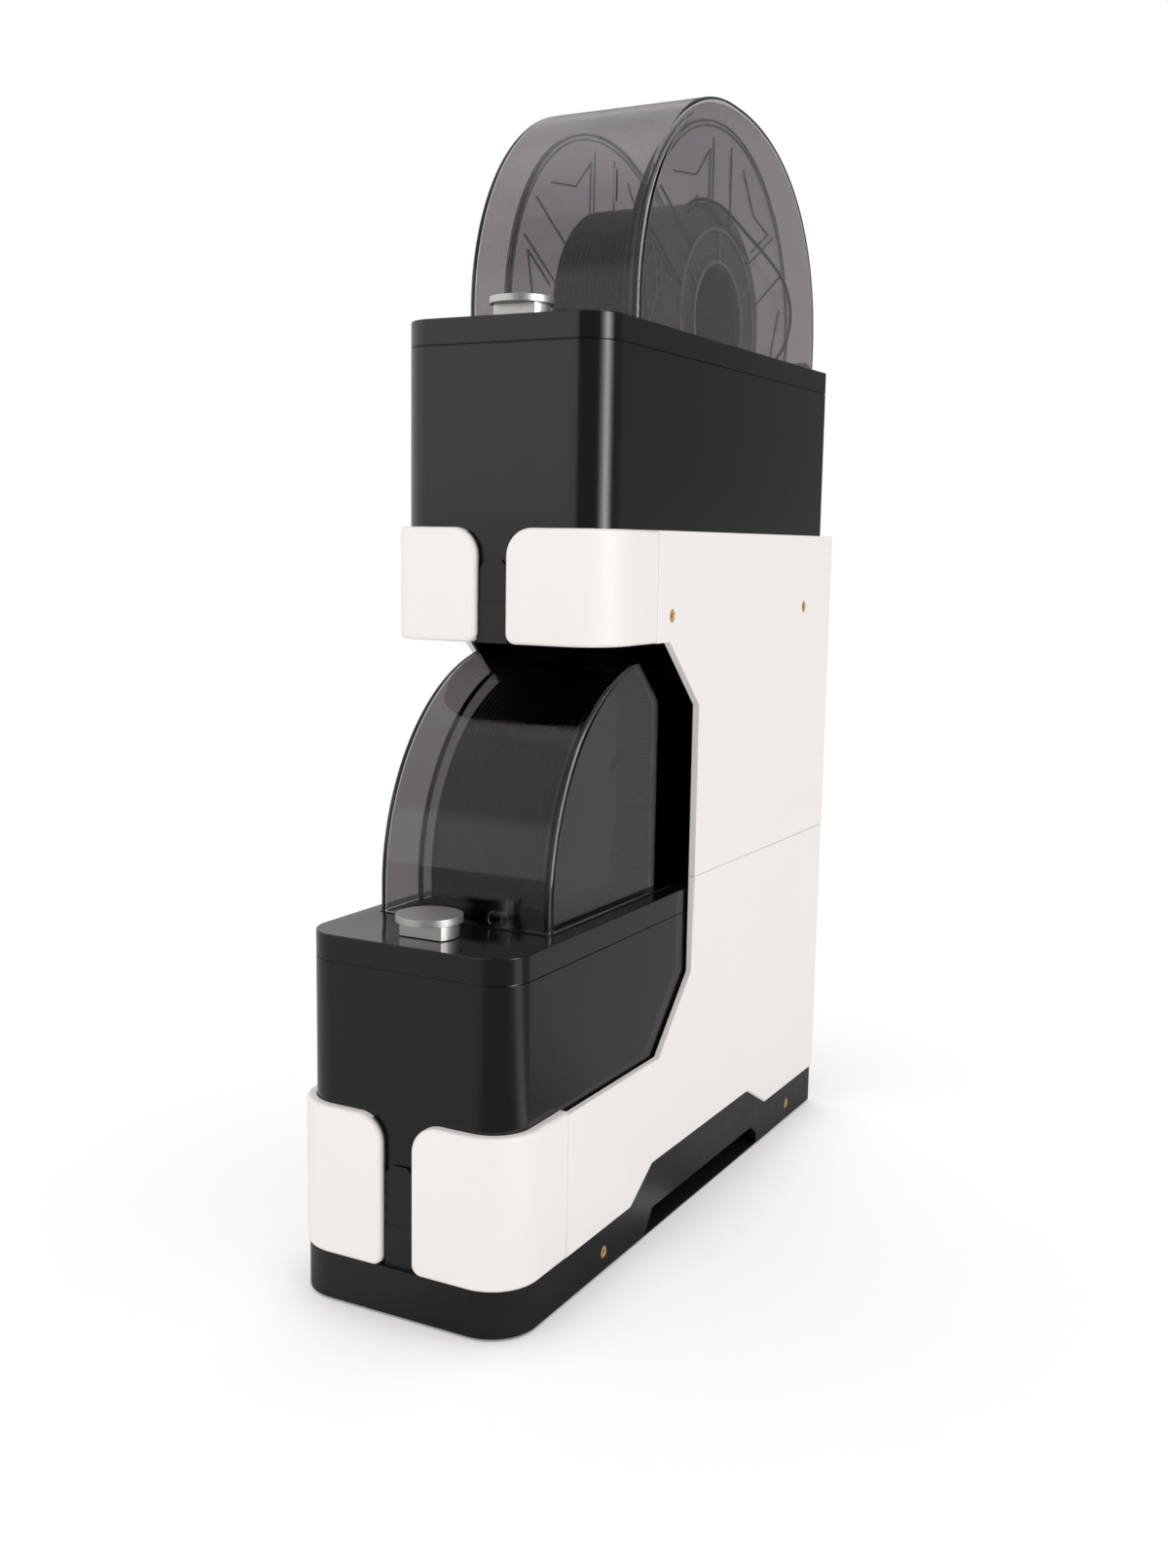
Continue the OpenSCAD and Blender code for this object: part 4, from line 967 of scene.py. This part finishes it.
class DRYER_OT_spools(bpy.types.Operator):
    """Clear spools: plain flanges, and on a patterned one a raised rim, hub rings and arms"""
    bl_idname = "dryer.spools"
    bl_label = "Spools"

    def execute(self, context):
        spool = context.scene.dryer_spool
        tree = copies_tree()
        for unit in UNITS:
            name = f"{unit}_spool"
            finish(self.reel(name, spool), "clear_spool", "clear_spool", body_of(name), name)
            if unit in PATTERNED:
                self.pattern(name, spool, tree)
        return {"FINISHED"}

    def pattern(self, name, spool, tree):
        """Rings, and lines that are copies of one arm's share of them."""
        edge = wheel(name)[-1]
        shapes = (("rim", self.rim_bands(edge, spool), self.arm_lines(edge, spool), "clear_ribs"),
                  ("hub", self.hub_bands(spool), self.spoke_lines(spool), "hub_ribs"))
        for part, bands, lines, paint in shapes:
            finish(self.rings(name, part, bands, spool), paint, "clear_spool", body_of(name))
            sector = self.sector(name, part, lines, spool)
            arms = new_object(f"{name}_{part}_lines", bpy.data.meshes.new(part))
            grow(arms, tree, Piece=sector, Copies=spool.arms, Centre=tuple(middle(name)),
                 Step=math.tau / spool.arms, Finish=FINISH[paint])
            bpy.data.objects.remove(sector)
            shade(arms, CRISP)
            finish(arms, paint, "clear_spool", body_of(name))

    def reel(self, name, spool):
        """Both flanges and the hub in one, with the slot and the hole that the loose end goes through."""
        low, high, y, z, radius = wheel(name)
        c = CHAMFER
        outside = []
        for x, way in ((low.x, 1), (high.x, -1)):
            inner = x + way * spool.flange
            rim = [(x, radius - c), (x + way * c, radius), (inner - way * c, radius), (inner, radius - c)]
            side = [(x, spool.bore), *rim, (inner, spool.barrel)]
            outside.append(side if way > 0 else side[::-1])
        bm = bmesh.new()
        lathe(bm, outside[0] + outside[1], y, z, REEL_STEPS)
        bmesh.ops.recalc_face_normals(bm, faces=bm.faces)
        reel = from_bmesh(f"{name}_reel", bm)
        cutter = self.cutter(low.x, high.x, y, z)
        cut = reel.modifiers.new("Openings", "BOOLEAN")
        cut.operation, cut.solver, cut.object = "DIFFERENCE", "EXACT", cutter
        apply_modifiers(reel)
        bpy.data.objects.remove(cutter)
        return shade(reel, CRISP)

    def cutter(self, left, face, y, z):
        """Slot at the winding's edge and round hole for the parked end through the right flange, slit through both."""
        bm = bmesh.new()

        def block(place, width, height):
            size = Matrix.Diagonal((CUT_DEPTH * MM, width * MM, height * MM, 1))
            bmesh.ops.create_cube(bm, size=1, matrix=place @ size)

        turned = Matrix.Rotation(math.radians(-SLOT_AT[1]), 4, "X")
        block(Matrix.Translation((face, y, z)) @ turned @ Matrix.Translation((0, 0, SLOT_AT[0] * MM)), *SLOT_SIZE)
        hole = Matrix.Translation((face, y + PARK[0] * MM, z + PARK[1] * MM)) @ Matrix.Rotation(math.pi / 2, 4, "Y")
        bmesh.ops.create_cone(bm, cap_ends=True, segments=24, radius1=PARK_RADIUS * MM, radius2=PARK_RADIUS * MM,
                              depth=CUT_DEPTH * MM, matrix=hole)
        for x in (left, face):
            block(Matrix.Translation((x, y + SLIT[0] * MM, z + SLIT[1] * MM)), *SLIT[2:])
        return from_bmesh("openings", bm)

    def rim_bands(self, edge, spool):
        return ((edge - spool.rim, edge - spool.rim + INNER_RIM, RIM_STEPS),
                (edge - OUTER_RIM[0], edge - OUTER_RIM[1], RIM_STEPS))

    def hub_bands(self, spool):
        half = HUB_RING * spool.line
        return tuple((r - half, r + half, HUB_STEPS) for r in (spool.outer_ring, spool.inner_ring))

    def arm_lines(self, edge, spool):
        far, a = ARM_END * (edge - spool.rim), spool.arm_half
        near = math.sqrt(spool.outer_ring ** 2 - a ** 2)
        corners = [polar(radius, degrees) for radius, degrees in CHEVRON]
        return (((a, near), (a, far)), ((-a, near), (-a, far)), *zip(corners, corners[1:]))

    def spoke_lines(self, spool):
        return (((0.0, spool.inner_ring), (0.0, spool.outer_ring)),)

    def rings(self, name, part, bands, spool):
        """Raised bands on both flanges, each from one radius to another."""
        low, high, y, z, _ = wheel(name)
        h, c = spool.relief, RIB_CHAMFER
        bm = bmesh.new()
        for face, out in ((low.x, -1), (high.x, 1)):
            for r0, r1, steps in bands:
                profile = [(face - out * SUNK, r0), (face - out * SUNK, r1), (face + out * (h - c), r1),
                           (face + out * h, r1 - c), (face + out * h, r0 + c), (face + out * (h - c), r0)]
                lathe(bm, profile, y, z, steps)
        bmesh.ops.recalc_face_normals(bm, faces=bm.faces)
        return shade(from_bmesh(f"{name}_{part}_rings", bm), CRISP)

    def sector(self, name, part, lines, spool):
        """One arm's share of the lines on both flanges, drawn round the origin."""
        low, high = span(name)
        bm = bmesh.new()
        for face, out in ((low.x, -1), (high.x, 1)):
            for one, other in lines:
                raised_line(bm, face, out, one, other, spool)
        bmesh.ops.recalc_face_normals(bm, faces=bm.faces)
        return from_bmesh(f"{name}_{part}_sector", bm)


def polar(radius, degrees):
    """(y, z) from a radius in mm and an angle from straight up."""
    a = math.radians(degrees)
    return (radius * MM * math.sin(a), radius * MM * math.cos(a))


def raised_line(bm, face, out, one, other, spool):
    """Rib of trapezoid section between two points of a flange's face."""
    along = (Vector(other) - Vector(one)).normalized()
    side = Vector((-along.y, along.x)) * spool.line / 2
    top = side * RIB_TOP
    foot, crest = face - out * SUNK, face + out * spool.relief
    rings = []
    for end in (Vector(one), Vector(other)):
        corners = ((foot, end - side), (foot, end + side), (crest, end + top), (crest, end - top))
        rings.append([bm.verts.new((x, p.x, p.y)) for x, p in corners])
    a, b = rings
    for i in range(4):
        j = (i + 1) % 4
        bm.faces.new((a[i], a[j], b[j], b[i]))
    bm.faces.new(a)
    bm.faces.new(reversed(b))


class DRYER_OT_windings(bpy.types.Operator):
    """The wound filament with its single turns, and the upper spool's loose end"""
    bl_idname = "dryer.windings"
    bl_label = "Filament"

    def execute(self, context):
        spool = context.scene.dryer_spool
        for unit in UNITS:
            name = f"{unit}_filament"
            finish(winding(name, spool, GROOVE[unit]), "filament_black", "filament_black", body_of(name), name)
        finish(loose_end(spool), "filament_black", "filament_black", body_of("up_strand"), "up_strand")
        return {"FINISHED"}


TURN_POINTS = 6
WINDING_STEPS = 112
GROOVE = {"low": 0.1, "up": 0.42}      # depth between turns as a share of the pitch: tight on the full spool
ROW = 0.8                              # height of a row as a share of the pitch
SIDE_GROOVE = 0.8                      # depth between rows as a share of that between turns
SWAY = (0.24, 2.4)                     # unevenness of the turns as a share of their depth, and its step


def winding(name, spool, groove):
    """Lathe whose section follows the turns over the crown and the rows down both sides."""
    _, high, y, z, radius = wheel(name)
    half = high.x
    turns = round(2 * half / spool.pitch)
    rows = round((radius - spool.barrel) / (spool.pitch * ROW))
    depth = groove * spool.pitch
    bulges = [math.sin(math.pi * k / TURN_POINTS) for k in range(TURN_POINTS)]
    profile = [(-half, spool.barrel), (half, spool.barrel)]
    for i in range(rows):
        for k, bulge in enumerate(bulges):
            t = (i + k / TURN_POINTS) / rows
            profile.append((half - depth * (1 - bulge) * SIDE_GROOVE, spool.barrel + (radius - spool.barrel) * t))
    for i in range(turns):
        sway = abs(SWAY[0] * depth * math.sin(i * SWAY[1]))
        for k, bulge in enumerate(bulges):
            t = (i + k / TURN_POINTS) / turns
            profile.append((half - 2 * half * t, radius - depth * (1 - bulge) - sway))
    profile += [(-x, r) for x, r in reversed(profile[2:2 + rows * TURN_POINTS])]
    bm = bmesh.new()
    lathe(bm, profile, y, z, WINDING_STEPS)
    bmesh.ops.recalc_face_normals(bm, faces=bm.faces)
    return shade(from_bmesh(name.replace("filament", "winding"), bm), 75)


# Route of the loose end in mm: x from the middle, y and z from the spool's axis
STRAND = (
    (29.2, -42, 45.2), (30.5, -38, 50), (32.5, -33, 55), (35, -26, 57.5), (37, -16, 58), (38, -4, 56.5),
    (38.5, 8, 53.5), (38.5, 22, 50), (38.5, 36, 46.5), (38.5, 50, 43), (38.5, 64, 39), (38.5, 76, 34.5),
    (38.5, 85, 29), (38.5, 91, 22), (38.5, 93, 14), (38.5, 91, 6), (38.5, 86, -1), (38.5, 79, -7),
    (38.5, 71, -12), (38.5, 62, -17), (38.3, 52, -22), (37.4, 43, -26.5), (36, 38, -29.2), (34, 34.5, -31),
    (31.6, 33.5, -31.5),
)


def loose_end(spool):
    """Round strand that leaves the winding, bows past the flange and parks in its hole."""
    axis = middle("up_spool")
    curve = bpy.data.curves.new("strand", "CURVE")
    curve.dimensions = "3D"
    curve.bevel_depth = spool.strand / 2
    curve.bevel_resolution = 2
    curve.resolution_u = 5
    curve.use_fill_caps = True
    line = curve.splines.new("BEZIER")
    line.bezier_points.add(len(STRAND) - 1)
    for point, (x, y, z) in zip(line.bezier_points, STRAND):
        point.co = (x * MM, axis.y + y * MM, axis.z + z * MM)
        point.handle_left_type = point.handle_right_type = "AUTO"
    made = bpy.data.objects.new("up_strand_round", curve)
    bpy.context.scene.collection.objects.link(made)
    bpy.context.view_layer.update()
    mesh = bpy.data.meshes.new_from_object(made.evaluated_get(bpy.context.evaluated_depsgraph_get()))
    bpy.data.objects.remove(made)
    strand = new_object("up_strand_round", mesh)
    strand.data.shade_smooth()
    return strand


class DRYER_OT_insides(bpy.types.Operator):
    """Everything under the spool: cradle, rollers, feeder, heater, fan, desiccant box and board"""
    bl_idname = "dryer.insides"
    bl_label = "Inside parts"

    def execute(self, context):
        parts = (
            ("cradle", 0.6, "inner_black"), ("front_roller", 0.8, "roller_rubber"),
            ("rear_roller", 0.8, "roller_rubber"), ("feed_motor", 0.4, "motor_metal"),
            ("drive_wheel", 0.12, "wheel_steel"), ("idler_wheel", 0.12, "wheel_steel"),
            ("heater", 0.2, "heater_aluminium"), ("fan_housing", 0.5, "inner_black"),
            ("fan_impeller", 0.25, "inner_black"), ("desiccant_box", 0.5, "desiccant_white"),
            ("circuit_board", 0.2, "board_green"),
        )
        for unit in UNITS:
            for part, width, paint in parts:
                dress(f"{unit}_{part}", paint, width * MM, sharp=40)
        return {"FINISHED"}


class DRYER_PT_panel(bpy.types.Panel):
    """Lists the pieces in the sidebar"""
    bl_idname = "DRYER_PT_panel"
    bl_label = "Filament dryer"
    bl_space_type = "VIEW_3D"
    bl_region_type = "UI"
    bl_category = "Dryer"

    def draw(self, context):
        for operator in OPERATORS:
            self.layout.operator(operator.bl_idname)
        for name, group in SETTINGS.items():
            box = self.layout.box()
            for key in group.__annotations__:
                box.prop(getattr(context.scene, name), key)


OPERATORS = (
    DRYER_OT_stage, DRYER_OT_white_panels, DRYER_OT_black_stand, DRYER_OT_screws, DRYER_OT_cases, DRYER_OT_lids,
    DRYER_OT_latches, DRYER_OT_knobs, DRYER_OT_spools, DRYER_OT_windings, DRYER_OT_insides,
)


def register():
    for kind in (*SETTINGS.values(), *OPERATORS, DRYER_PT_panel):
        bpy.utils.register_class(kind)
    for name, group in SETTINGS.items():
        setattr(bpy.types.Scene, name, PointerProperty(type=group))


def unregister():
    for name in SETTINGS:
        delattr(bpy.types.Scene, name)
    for kind in reversed((*SETTINGS.values(), *OPERATORS, DRYER_PT_panel)):
        bpy.utils.unregister_class(kind)


def main():
    register()
    for name, (make, *how) in FINISHES.items():
        FINISH[name] = make(*how)
    for operator in OPERATORS:
        getattr(bpy.ops.dryer, operator.bl_idname.split(".")[1])()


if __name__ == "__main__":
    main()
